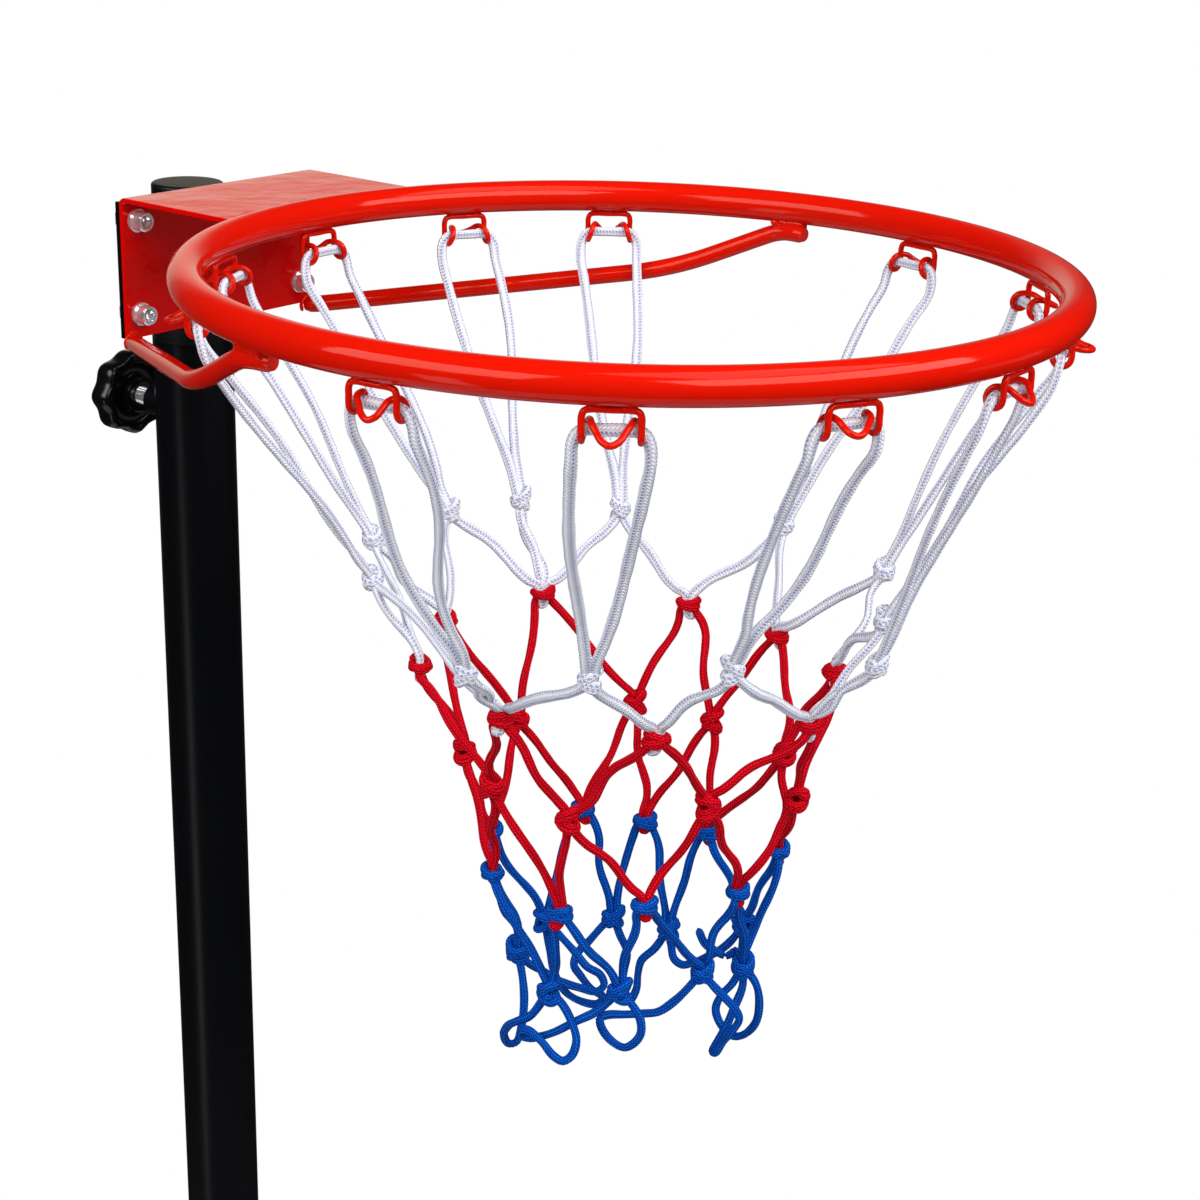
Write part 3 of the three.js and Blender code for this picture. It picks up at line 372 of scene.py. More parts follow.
# Net hooks: each is one steel wire bent into a bar, two legs, two curls that hold the cord, and a pointed
# tongue. Twelve are welded under the hoop, each tongue bent its own way by a swing and a lift.
HOOK_TURNS = [-49, -26, 0.3, 23.5, 50, 98, 125.7, 153, 179.5, 204, 231, 260]
HOOK_BENDS = [(0, 1), (0.5, 1.5), (0, 0), (-1, 1), (1, 4), (3.5, 0.5), (0, 0.5), (-2.5, 2), (-3, 1.5),
              (2, 4.5), (-2, 3), (0, 1)]
HOOK_WIRE, HOOK_HALF, HOOK_LEG, HOOK_CURL, TONGUE_REACH = 2.8, 11.2, 9.2, 4.1, 8.2
HOOK_DROP = BAR_R + HOOK_WIRE / 2 + 0.15


def under_hook(turn, places):
    """From (along, out, up) beside a hook's bar to the row frame, by the hook's turn."""
    angle = math.radians(turn)
    axes = np.array([[-math.cos(angle), -math.sin(angle), 0.0],
                     [-math.sin(angle), math.cos(angle), 0.0],
                     [0.0, 0.0, 1.0]])
    return around_hoop(turn, HOOP_RADIUS, HOOK_DROP) + np.asarray(places, float) @ axes


def hook_line(swing, lift):
    """Half of the wire, its curl three quarters of a circle, out to the tongue's tip, then its mirror."""
    angle = 1.5 * np.pi * np.arange(9) / 8
    drift = (HOOK_WIRE + 0.3) * np.clip(np.arange(9) - 3.5, 0, None) / 4.5
    half = HOOK_HALF - HOOK_WIRE - 0.3
    curl = np.stack([HOOK_HALF - drift, HOOK_CURL * (np.cos(angle) - 1),
                     -HOOK_LEG - HOOK_CURL * np.sin(angle)], 1)
    bar = [(0.01, 0, 0), (HOOK_HALF - 3, 0, 0), (HOOK_HALF - 0.9, 0, -0.7), (HOOK_HALF, 0, -3.0),
           (HOOK_HALF, 0, -6.0)]
    tongue = [(half - 0.9, 0.5, -HOOK_LEG + HOOK_CURL - 0.5),
              (half - 2.6, 3.2, -HOOK_LEG + 1.2 + 0.3 * lift),
              (half - 4.8, 6.6, -HOOK_LEG - 1.5 + 0.75 * lift)]
    one = np.vstack([bar, curl, tongue])
    tip = [(0, TONGUE_REACH, -HOOK_LEG - 2.9 + lift)]
    line = np.vstack([one, tip, (one * [-1.0, 1.0, 1.0])[::-1]])
    line[:, 0] += swing * np.clip(line[:, 1], 0, None) / TONGUE_REACH
    return run_through(line, step=0.8)


for index, (turn, (swing, lift)) in enumerate(zip(HOOK_TURNS, HOOK_BENDS)):
    facing = under_hook(turn, [(0.75, 0.35, 0.55)]) - under_hook(turn, [(0, 0, 0)])
    name = f"hook_{index + 1:02d}"
    wire = tube(under_hook(turn, hook_line(swing, lift)), HOOK_WIRE / 2, 12, facing)
    lay_piece(f"{name}_wire", [wire], "mast", RED_COAT, [name], sharp=60.0)


# Welds: low lumpy beads of steel along the seams, laid as overlapping drops under the same red coat. They
# run over and under the bracket's cope, at the struts' ends and on each hook's bar.
BEAD_STEP = 0.6


def bead(places, radius, seed, facing=UP, drop=3.2):
    """A tube whose radius swells with the run's sine at each drop and wanders sideways by a seeded line."""
    chance = np.random.default_rng(seed)
    line = run_through(places, BEAD_STEP)
    run = np.arange(len(line)) * BEAD_STEP
    size = 0.92 + 0.10 * np.abs(np.sin(np.pi * run / drop)) + 0.06 * np.interp(
        run, np.linspace(0, run[-1], 24), chance.normal(size=24))
    wander = np.interp(run, np.linspace(0, run[-1], 18), chance.normal(size=18)) * 0.15 * radius
    ends = np.minimum(np.arange(len(line)), np.arange(len(line))[::-1]) / 4.0
    dome = np.sqrt(np.clip(1 - (1 - np.minimum(ends, 1.0)) ** 2, 0.02, 1.0))
    facing = np.asarray(facing, float)
    return tube(line + facing * wander[:, None], radius * size * dome, 14, facing)


x = np.linspace(-63, 63, 43)
seams = []
for outset, height, radius, seed in ((5.5, BRACKET_TOP, 0.9, 3), (7.0, BRACKET_TOP - 3.0, 1.5, 5)):
    y = np.sqrt((HOOP_RADIUS + outset) ** 2 - x**2) - HOOP_REACH
    seams.append(bead(np.stack([x, y, np.full(len(x), height)], 1), radius, seed))
lay_piece("weld_hoop", seams, "mast", RED_COAT)
for label, side in (("left", -1), ("right", 1)):
    seam_turns = -side * np.linspace(74.6, 80.3, 8)
    beads = [bead(around_hoop(seam_turns, HOOP_RADIUS - 1.0, 8.3), 3.7, seed=11, drop=5.0)]
    angle = np.linspace(-0.2, 1.2, 13) * np.pi
    foot = np.stack([side * 62.0 + 5.0 * np.cos(angle), np.full(13, BRACKET_FRONT - 0.5),
                     2371.8 + 5.0 * np.sin(angle)], 1)
    beads.append(bead(foot, 1.1, seed=14, facing=(0.0, -1.0, 0.0)))
    lay_piece(f"weld_strut_{label}", beads, "mast", RED_COAT)
drops = []
for index, turn in enumerate(HOOK_TURNS):
    for shift in (-6.5, 6.5):
        places = [(shift - 3.2, 0.2, 1.0), (shift, 0.3, 1.2), (shift + 3.2, 0.2, 1.0)]
        drops.append(bead(under_hook(turn, places), 1.35, seed=40 + index))
lay_piece("weld_hooks", drops, "mast", RED_COAT)


# White net: a loop of hollow braided cord hangs from each hook, gathered by a knot. From knot to knot the
# cord drops in a bight that the red knots hold. Each place is a turn, a radius and a drop.
WHITE_R, CORD_R, WHITE_FLAT = 2.55, 2.12, 0.74
HOOK_KNOTS = [(308, 127, 152), (332, 129, 146), (351, 129, 146), (17, 131, 146), (33, 119, 154),
              (97, 129, 152), (122, 127, 146), (150, 126, 144), (185, 136, 157), (200, 127, 149),
              (229, 130, 147), (267, 128, 149)]
UPPER_RED = [(331, 100, 189), (8, 100, 189), (43, 95, 191), (95, 96, 186), (138, 97, 187), (186, 104, 196),
             (217, 104, 190), (252, 97, 194), (286, 98, 192)]
WHITE_BIGHTS = [2, 1, 1, 2, 1, 2, 1, 1, 1]
OVER_CURL = [(4.5, 0.0, 0.3), (9.5, 0.0, 0.2), (12.6, -0.2, -1.2), (14.6, -1.0, -5.5), (15.0, -3.0, -13.0)]
LOOP_BOWS = {(5, -1): (7.0, -3.5, 0.0), (5, 1): (6.0, -6.0, 0.0), (7, 1): (-4.0, 2.0, 0.0)}
FULL_TURN = 6.28
draw = np.random.default_rng(7)


def outward(place):
    """The level direction away from the hoop's middle."""
    return unit((np.asarray(place, float) + [0.0, HOOP_REACH, 0.0]) * [1.0, 1.0, 0.0])


def along_rim(place):
    """The level direction of a growing turn round the hoop's middle: up crossed with outward."""
    return np.cross(UP, outward(place))


def slack(start, end, waves, rows=9):
    """A straight run bowed by one to three half waves: the first row sideways, the second outwards."""
    share = np.linspace(0, 1, rows)[:, None]
    out = outward((start + end) / 2)
    bow = np.sin(np.pi * share * [1.0, 2.0, 3.0]) @ np.asarray(waves).T
    return start + (end - start) * share + np.cross(unit(end - start), out) * bow[:, :1] + out * bow[:, 1:]


def bends(chance, *sizes):
    """Two rows of three random wave sizes, each up to the given ones."""
    return chance.uniform(-1.0, 1.0, (2, 3)) * sizes


def cord(places, radius=CORD_R, step=1.5, flat=1.0, facing=None, sides=12):
    """A tube on a run through the places, thinner outwards, wider here and there, with domed ends."""
    line = run_through(places, step)
    if facing is None:
        facing = outward(line)
    ends = np.minimum(np.arange(len(line)), np.arange(len(line))[::-1]) / 2.0
    dome = np.sqrt(np.clip(1 - (1 - np.minimum(ends, 1.0)) ** 2, 0.04, 1.0))
    run, phase = np.arange(len(line)) * step, line[0].sum()
    uneven = 1 + 0.045 * np.sin(run / 6 + phase) + 0.03 * np.sin(run / 2.7 + 2 * phase)
    return tube(line, radius * uneven * dome, sides, facing, flat=flat)


def coil(centre, turns, tall, wide, deep, lean, start):
    """Turns of cord round a knot: a flat helix leaning sideways and outwards, its ends tucked in."""
    out, side = outward(centre), along_rim(centre)
    angle = start + np.linspace(0, 2 * np.pi * turns, int(12 * turns) + 1)
    swell = 1 + 0.09 * np.sin(0.7 * angle + 2 * start)
    x, y = wide * swell * np.cos(angle), deep * swell * np.sin(angle)
    z = (np.linspace(tall / 2, -tall / 2, len(angle)) + lean[0] * x + lean[1] * y
         + 0.35 * np.sin(1.5 * angle - start))
    ring = centre + side * x[:, None] + out * y[:, None] + UP * z[:, None]
    line = np.vstack([(ring[0] + centre) / 2 - UP * 0.5, ring, (ring[-1] + centre) / 2 + UP * 0.5])
    return cord(line, step=0.9, facing=UP + 0.15 * out)


def fold_tip(centre, reach, lean, radius=CORD_R):
    """The folded tip of a bight under its knot: a hairpin, bent sideways and outwards by the lean."""
    side, out = along_rim(centre), outward(centre)
    share = np.linspace(-1, 1, 9)[:, None]
    line = centre + side * 2.1 * share * (1.15 - 0.5 * share**2) - UP * (reach - (reach + 2.0) * share**4)
    line = line + (side * lean[0] + out * lean[1]) * (1 - share**2)
    return cord(line, radius, step=0.8, facing=out)


def crossed_knot(centre, chance, wide=4.2):
    """Two coils that lean against each other, and one steep turn over both."""
    lean, start = 0.6 * chance.choice([-1.0, 1.0]), chance.uniform(0, FULL_TURN, 3)
    return [coil(centre + UP * 1.7, turns=1.5, tall=2.6, wide=wide, deep=wide - 0.5,
                 lean=(lean, 0.2), start=start[0]),
            coil(centre - UP * 1.9, turns=1.5, tall=2.6, wide=wide - 0.2, deep=wide - 0.7,
                 lean=(-lean, -0.2), start=start[1]),
            coil(centre, turns=1.0, tall=1.0, wide=wide - 1.4, deep=wide,
                 lean=(lean * 2.4, 0.3), start=start[2])]


def bight(start, end, low, drop, inset, gap, sizes, chance):
    """From a knot down to a low place and up to the next knot: two slack runs joined by a folded tip."""
    across = unit((end - start) * [1.0, 1.0, 0.0])
    down = slack(start - UP * drop + across * inset, low - across * gap + UP * 5.0, bends(chance, *sizes))
    back = slack(end - UP * drop - across * inset, low + across * gap + UP * 5.0, bends(chance, *sizes))
    tip = np.array([low - across * 1.3 - UP, low - UP * 2.6, low + across * 1.3 - UP])
    return np.vstack([down, tip, back[::-1]])


def braided_cord(name, light, painted_gap_shade, fleck, fleck_share, depth):
    """Slanted ovals in eight columns on the cord's u and v: each rises by one less the squares of the
    distances from its middle. The low gaps between them get painted shade, and every other column is
    flecked."""
    columns, stitch, slope = 8.0, 0.0017, 1.3
    made = bpy.data.materials.new(name)
    made.use_nodes = True
    tree = made.node_tree
    link = tree.links.new
    shader = tree.nodes["Principled BSDF"]
    shader.inputs["Roughness"].default_value = 0.75
    shader.inputs["Specular IOR Level"].default_value = 0.08
    where = tree.nodes.new("ShaderNodeUVMap")
    where.uv_map = "cord"
    parts = tree.nodes.new("ShaderNodeSeparateXYZ")
    link(where.outputs[0], parts.inputs[0])

    def work(kind, *values):
        """One step of arithmetic on sockets and numbers."""
        node = tree.nodes.new("ShaderNodeMath")
        node.operation = kind
        for socket, value in zip(node.inputs, values):
            if isinstance(value, float):
                socket.default_value = value
            else:
                link(value, socket)
        return node.outputs[0]

    def blend_colour(share, first, second):
        """The first colour less its share, and the second by its share."""
        node = tree.nodes.new("ShaderNodeMix")
        node.data_type = "RGBA"
        for socket, value in (("Factor", share), ("A", first), ("B", second)):
            if isinstance(value, tuple):
                node.inputs[socket].default_value = (*value, 1)
            else:
                link(value, node.inputs[socket])
        return node.outputs["Result"]

    across = work("MULTIPLY", parts.outputs["X"], columns)
    odd = work("MODULO", work("FLOOR", across), 2.0)
    inside = work("SUBTRACT", work("FRACT", across), 0.5)
    slant = work("MULTIPLY", work("SUBTRACT", odd, 0.5), slope)
    along = work("ADD", work("DIVIDE", parts.outputs["Y"], stitch), work("MULTIPLY", slant, inside))
    along = work("ADD", along, work("MULTIPLY", odd, 0.5))
    phase = work("SUBTRACT", work("FRACT", along), 0.5)
    reach = work("ADD", work("POWER", work("ABSOLUTE", work("MULTIPLY", inside, 2.0)), 2.0),
                 work("POWER", work("ABSOLUTE", work("MULTIPLY", phase, 2.0)), 2.0))
    height = work("SUBTRACT", 1.0, work("MINIMUM", reach, 1.0))
    bump = tree.nodes.new("ShaderNodeBump")
    bump.inputs["Strength"].default_value = 1.0
    bump.inputs["Distance"].default_value = depth
    link(height, bump.inputs["Height"])
    link(bump.outputs[0], shader.inputs["Normal"])
    # Painted shade: the colour falls from the yarn's own to the darker one in the low gaps between
    # stitches.
    painted_shade_tone = blend_colour(work("MINIMUM", work("MULTIPLY", height, 2.6), 1.0), painted_gap_shade, light)
    every = work("FRACT", work("MULTIPLY", work("FLOOR", across), 0.5))
    picked = work("MULTIPLY", work("LESS_THAN", every, 0.2), work("GREATER_THAN", height, 0.6))
    link(blend_colour(work("MULTIPLY", picked, fleck_share), painted_shade_tone, fleck), shader.inputs["Base Color"])
    return made


# The white cord's darker colour is painted shade in the gaps between its stitches.
WHITE_CORD = braided_cord("white_cord", light=(1.0, 1.0, 1.0), painted_gap_shade=(0.62, 0.64, 0.82),
                          fleck=(0.20, 0.23, 0.54), fleck_share=0.85, depth=0.0003)
hook_knots, upper_red = (around_hoop(*np.array(row, float).T) for row in (HOOK_KNOTS, UPPER_RED))
white = []
for index, (turn, knot) in enumerate(zip(HOOK_TURNS, hook_knots)):
    rim = along_rim(around_hoop(turn, HOOP_RADIUS, 0))
    gather = unit(under_hook(turn, (0, -HOOK_CURL - 3.0, -HOOK_LEG - 13.0)) - knot)
    join = draw.uniform(9.0, 26.0)
    halves = []
    for side in (-1, 1):
        over = under_hook(turn, [(side * a, b - HOOK_CURL, c - HOOK_LEG) for a, b, c in OVER_CURL])
        entry = knot + gather * join + rim * side * 2.3
        bow = LOOP_BOWS.get((index, side), (0.0, 0.0, 0.0))
        waves = bends(draw, 0.8, 1.6, 0.9) + [bow, (-2.0, 0.0, 0.0)]
        fall = slack(over[-1], entry, waves, rows=10)[1:]
        fall = fall + rim * side * 2.4 * np.sin(np.pi * np.linspace(0.11, 1, 9))[:, None]
        inside = [knot + rim * side * 1.5 + gather * 4.0, knot + rim * side * 1.2 - UP * 2.0]
        halves.append(np.vstack([over, fall, *inside]))
    white.append(cord(np.vstack([halves[0][::-1], halves[1]]), WHITE_R, step=1.6, flat=WHITE_FLAT, sides=14,
                      facing=outward(around_hoop(turn, HOOP_RADIUS, 0)) + 0.25 * UP))
    white += crossed_knot(knot, draw, wide=3.5)
index = 0
for target, count in zip(upper_red, WHITE_BIGHTS):
    for copy in range(count):
        start, end = hook_knots[index], hook_knots[(index + 1) % len(hook_knots)]
        shifted = target + along_rim(target) * (copy - (count - 1) / 2) * 2.6
        places = bight(start, end, shifted, drop=2.0, inset=0.0, gap=1.6, sizes=(2.4, 2.2, 1.5),
                       chance=draw)
        white.append(cord(places, WHITE_R, flat=WHITE_FLAT, sides=14))
        index += 1
    white.append(fold_tip(target - UP, reach=5.0, lean=draw.uniform(-2.2, 2.2, 2), radius=2.2))
lay_piece("net_white_cords", white, "mast", WHITE_CORD, ["net_white"])


# Red net: braided cord, knotted by hand. A collar is tied over each white bight, two cords run from it to
# a row of chunky crossed knots, and bights hang from these into the blue collars.
LOWER_RED = [(349, 75, 245), (33, 74, 240), (77, 74, 234), (112, 77, 237), (163, 75, 234), (200, 92, 244),
             (224, 84, 237), (267, 76, 242), (300, 77, 241)]
UPPER_BLUE = [(17, 65, 293), (59, 62, 293), (106, 64, 294), (143, 61, 289), (193, 68, 296), (220, 83, 289),
              (256, 62, 297), (291, 60, 301), (322, 62, 297)]
# The red cord's darker colour is painted shade in the gaps between its stitches.
RED_CORD = braided_cord("red_cord", light=(0.97, 0.001, 0.018), painted_gap_shade=(0.20, 0.0002, 0.001),
                        fleck=(0.50, 0.0008, 0.005), fleck_share=0.6, depth=0.0004)


def collar(centre, chance):
    """Two turns over each other, leaning apart."""
    lean, start = 0.32 * chance.choice([-1.0, 1.0]), chance.uniform(0, FULL_TURN, 2)
    return [coil(centre + UP * 1.5, turns=1.3, tall=1.0, wide=4.4, deep=3.6,
                 lean=(lean, 0.1), start=start[0]),
            coil(centre + UP * 0.1, turns=1.3, tall=1.0, wide=4.6, deep=3.9,
                 lean=(-0.7 * lean, -0.1), start=start[1])]


def band(upper, lower, chance):
    """From each collar two cords leave, one on either side, down to the two knots below it."""
    made = []
    for k in range(len(upper)):
        for side, other in ((1, k), (-1, k - 1)):
            away = along_rim(upper[k]) * side
            end = lower[other] - along_rim(lower[other]) * side * 1.5 + UP * 4.0
            fall = slack(upper[k] + away * 4.2 - UP * 3.4, end, bends(chance, 1.9, 1.8, 1.3))
            made.append(cord(np.vstack([upper[k] + away * 1.5 + UP * 0.5, fall, lower[other] + UP * 0.5])))
        made += collar(upper[k], chance)
        made += crossed_knot(lower[k], chance)
    return made


lower_red, upper_blue = (around_hoop(*np.array(row, float).T) for row in (LOWER_RED, UPPER_BLUE))
chance = np.random.default_rng(500)
red = band(upper_red, lower_red, chance)
for k, low in enumerate(upper_blue):
    start, end = lower_red[k], lower_red[(k + 1) % len(lower_red)]
    places = bight(start, end, low, drop=3.0, inset=1.0, gap=1.5, sizes=(2.1, 1.9, 1.4), chance=chance)
    red.append(cord(places))
    red.append(fold_tip(low - UP, reach=5.0, lean=chance.uniform(-2.2, 2.2, 2)))
lay_piece("net_red_cords", red, "mast", RED_CORD, ["net_red"])


# Blue net: the same braided cord in blue, tied over the red bights. Its last row of knots carries slack
# loops, each a line of places where it fell, and the fifth knot has one short free tip.
LOWER_BLUE = [(36, 46, 348), (96, 54, 343), (134, 52, 339), (189, 53, 342), (212, 68, 348), (233, 71, 338),
              (270, 51, 355), (305, 53, 355), (347, 53, 352)]
LOW_LOOPS = [
    [(-29, -264, 2080), (-32, -268, 2069), (-36, -270, 2057), (-41, -271, 2050), (-46, -270, 2051),
     (-51, -271, 2059), (-55, -277, 2068), (-59, -286, 2076), (-58, -294, 2082)],
    [(-52, -309, 2091), (-51, -314, 2083), (-52, -318, 2075), (-54, -317, 2067), (-57, -314, 2064),
     (-60, -310, 2067), (-62, -305, 2073), (-63, -298, 2077), (-62, -292, 2075), (-60, -290, 2070),
     (-57, -294, 2069), (-53, -304, 2074), (-48, -314, 2082), (-42, -322, 2088)],
    [(-35, -338, 2095), (-32, -341, 2087), (-31, -341, 2078), (-32, -337, 2071), (-32, -331, 2067),
     (-33, -324, 2069), (-31, -317, 2072), (-27, -313, 2074), (-22, -314, 2074), (-15, -319, 2073),
     (-10, -326, 2074), (-6, -333, 2076), (-1, -338, 2081), (2, -343, 2088)],
    [(10, -354, 2092), (14, -359, 2085), (18, -363, 2078), (20, -364, 2072), (19, -361, 2065),
     (20, -355, 2056), (20, -351, 2048), (23, -347, 2046), (26, -348, 2051), (29, -351, 2060),
     (32, -353, 2070), (35, -355, 2081)],
    [(39, -360, 2083), (42, -361, 2071), (43, -359, 2058), (43, -352, 2048), (44, -344, 2044),
     (46, -335, 2047), (49, -330, 2052), (52, -331, 2059), (56, -335, 2066), (58, -338, 2076),
     (60, -337, 2087)],
    [(56, -334, 2092), (56, -326, 2082), (54, -319, 2076), (52, -312, 2071), (51, -306, 2068),
     (49, -302, 2071), (50, -299, 2078)],
    [(48, -290, 2073), (45, -284, 2065), (45, -282, 2056), (44, -282, 2047), (43, -278, 2039),
     (43, -273, 2043), (46, -272, 2053), (48, -272, 2064), (45, -269, 2075)],
    [(39, -262, 2080), (33, -258, 2072), (27, -255, 2066), (23, -256, 2061), (25, -259, 2055),
     (30, -263, 2046), (36, -266, 2040), (36, -262, 2034), (30, -256, 2036), (25, -250, 2041),
     (19, -247, 2053), (14, -246, 2073)],
    [(9, -257, 2085), (10, -267, 2078), (11, -274, 2072), (16, -279, 2067), (17, -281, 2061),
     (14, -279, 2058), (4, -275, 2063), (-7, -271, 2070), (-13, -265, 2076), (-21, -261, 2083)],
]
FREE_TIP = [(36, -350, 2099), (34, -345, 2095), (30, -340, 2098), (27, -336, 2102), (25, -333, 2110)]
FREE_KNOT = 4
# The blue cord's darker colour is painted shade in the gaps between its stitches.
BLUE_CORD = braided_cord("blue_cord", light=(0.001, 0.13, 0.72), painted_gap_shade=(0.0006, 0.014, 0.12),
                         fleck=(0.001, 0.05, 0.34), fleck_share=0.6, depth=0.0004)
lower_blue = around_hoop(*np.array(LOWER_BLUE, float).T)
blue = band(upper_blue, lower_blue, np.random.default_rng(700))
for k, places in enumerate(LOW_LOOPS):
    blue.append(cord(np.vstack([lower_blue[k], places, lower_blue[(k + 1) % len(lower_blue)]])))
blue.append(cord(np.vstack([lower_blue[FREE_KNOT], FREE_TIP])))
lay_piece("net_blue_cords", blue, "mast", BLUE_CORD, ["net_blue"])


# Mast: a steel tube that slides in the post, with a plate welded on its front, both under satin black
# powder coat. A cap of moulded plastic is pressed into its mouth.
BLACK_COAT = finish_coat("black_coat", (0.0022, 0.0025, 0.0034), rough=0.30, specular=0.20, grain=0.12,
                         grain_scale=600.0)
BLACK_PLASTIC = finish_coat("black_plastic", (0.0030, 0.0030, 0.0036), rough=0.42, specular=0.30,
                            grain=0.15, grain_scale=1500.0)
MAST_TOP, MAST_BOTTOM, MAST_R, TUBE_WALL, PLATE_TOP = 2440.5, 1500.35, 19.0, 1.5, 2443.5


def turned(profile, centre=(0, 0, 0), axis="Z", sides=96, closed=True):
    """A profile of radius and run, turned: the run on the axis, the radius by cosine and sine across."""
    profile = np.asarray(profile, float)
    angle = np.arange(sides) * 2 * np.pi / sides
    first, second, third = {"Z": (0, 1, 2), "Y": (2, 0, 1), "X": (1, 2, 0)}[axis]
    grid = np.empty((len(profile), sides, 3))
    grid[:, :, first] = profile[:, :1] * np.cos(angle)
    grid[:, :, second] = profile[:, :1] * np.sin(angle)
    grid[:, :, third] = profile[:, 1:]
    return grid + np.asarray(centre, float), closed


def tube_wall(outside, inside, bottom, top):
    """A wall between two radii from bottom to top, with its outer rims cut off by the edge."""
    edge = 0.3
    return turned([(inside, bottom), (outside - edge, bottom), (outside, bottom + edge),
                   (outside, top - edge), (outside - edge, top), (inside, top)])


mast_wall = tube_wall(MAST_R, MAST_R - TUBE_WALL, MAST_BOTTOM, MAST_TOP)
lay_piece("mast_tube_body", [mast_wall], "mast", BLACK_COAT, ["mast_tube"], sharp=35.0)
plate_corners = np.array([(-BRACKET_HALF, PLATE_FRONT), (BRACKET_HALF, PLATE_FRONT),
                          (BRACKET_HALF, PLATE_BACK), (-BRACKET_HALF, PLATE_BACK)])
plate = np.stack([np.column_stack([plate_corners, np.full(4, z)]) for z in (BRACKET_BOTTOM, PLATE_TOP)])
sheet = lay_piece("mount_plate_sheet", [(plate, False)], "mast", BLACK_COAT,
                  ["mount_plate"], sharp=40.0)
break_edges(sheet, width=0.5)
seams = []
for side in (-1, 1):
    z = np.linspace(BRACKET_BOTTOM + 4, 2436, 30)
    seam = np.stack([np.full(len(z), side * 9.5), np.full(len(z), -18.2), z], 1)
    seams.append(bead(seam, 2.3, seed=62 + side, facing=(side * 1.0, 0.0, 0.0)))
lay_piece("weld_mast", seams, "mast", BLACK_COAT)
cap_profile = [(8.0, MAST_TOP - 14), (17.3, MAST_TOP - 14), (17.3, MAST_TOP), (18.9, MAST_TOP),
               (19.0, MAST_TOP + 0.3), (19.0, MAST_TOP + 1.6), (18.7, MAST_TOP + 2.4),
               (18.0, MAST_TOP + 2.9), (16.5, MAST_TOP + 3.0), (1.0, MAST_TOP + 3.0)]
lay_piece("mast_cap_body", [turned(cap_profile, closed=False)], "mast", BLACK_PLASTIC,
          ["mast_cap"], sharp=35.0)


# Bracket's fasteners: four zinc-plated socket head screws, each with a flat washer under its head. They
# hold the bracket on the mast's plate, with hexagon nuts behind it.
ZINC = finish_coat("zinc_steel", (0.97, 0.98, 1.0), rough=0.12, specular=0.5, grain=0.10,
                   grain_scale=2500.0, metal=0.80, uneven=0.03)
BOLT_PLACES = [(x, z) for z in (2433.75, 2385.75) for x in (-56.0, 56.0)]
HEAD_FRONT, HEAD_BACK, SHANK_END, SCREW_SIDES = -32.25, -26.25, -12.15, 48
screw_profile = [(2.0, HEAD_FRONT + 3.2), (2.6, HEAD_FRONT + 3.0), (2.9, HEAD_FRONT + 0.2),
                 (3.2, HEAD_FRONT), (4.5, HEAD_FRONT), (5.0, HEAD_FRONT + 0.5), (5.0, HEAD_BACK),
                 (3.0, HEAD_BACK), (3.0, SHANK_END - 0.5), (2.5, SHANK_END)]
washer_profile = [(3.15, HEAD_BACK), (5.8, HEAD_BACK), (6.0, HEAD_BACK + 0.2), (6.0, BRACKET_FRONT),
                  (3.15, BRACKET_FRONT)]
for number, (x, z) in enumerate(BOLT_PLACES, 1):
    grid, closed = turned(screw_profile, (x, 0, z), "Y", SCREW_SIDES, closed=False)
    # The first rings are the six-sided socket: each radius is the flat's distance over the cosine to it
    angle = np.arange(SCREW_SIDES) * 2 * np.pi / SCREW_SIDES
    hexagon = np.cos(np.pi / 6) / np.cos((angle + np.pi / 6) % (np.pi / 3) - np.pi / 6)
    middle = np.array([x, 0, z])
    grid[:3] = middle + (grid[:3] - middle) * np.stack([hexagon, np.ones(SCREW_SIDES), hexagon], 1)
    lay_piece(f"bolt_{number}_body", [(grid, closed)], "mast", ZINC,
              [f"bolt_{number}"], sharp=35.0)
    washer = turned(washer_profile, (x, 0, z), "Y", 64)
    lay_piece(f"washer_{number}_body", [washer], "mast", ZINC,
              [f"washer_{number}"], sharp=35.0)


# Post: a steel outer tube stands in a wider lower tube, both under satin black powder coat. A ribbed
# guide bush of moulded plastic is pressed into its mouth and steadies the mast.
OUTER_TOP, OUTER_BOTTOM, OUTER_R = 2360.35, 1095.35, 21.5
LOWER_TOP, LOWER_BOTTOM, LOWER_R, LOWER_INSIDE = 1245.35, 14.15, 24.0, 22.0
outer_wall = tube_wall(OUTER_R, OUTER_R - TUBE_WALL, OUTER_BOTTOM, OUTER_TOP)
lay_piece("outer_tube_body", [outer_wall], "frame", BLACK_COAT, ["outer_tube"], sharp=35.0)
lower_wall = tube_wall(LOWER_R, LOWER_INSIDE, LOWER_BOTTOM, LOWER_TOP)
lay_piece("lower_tube_body", [lower_wall], "frame", BLACK_COAT, ["lower_tube"], sharp=35.0)
bush_profile = [(19.2, OUTER_TOP - 18), (19.8, OUTER_TOP - 18), (19.8, OUTER_TOP), (21.3, OUTER_TOP),
                (21.5, OUTER_TOP + 0.2), (21.5, OUTER_TOP + 1.4), (20.9, OUTER_TOP + 1.8),
                (20.9, OUTER_TOP + 3.1), (21.5, OUTER_TOP + 3.5), (21.5, OUTER_TOP + 12.6),
                (21.1, OUTER_TOP + 13.0), (19.2, OUTER_TOP + 13.0)]
lay_piece("guide_bush_body", [turned(bush_profile)], "frame", BLACK_PLASTIC,
          ["guide_bush"], sharp=35.0)


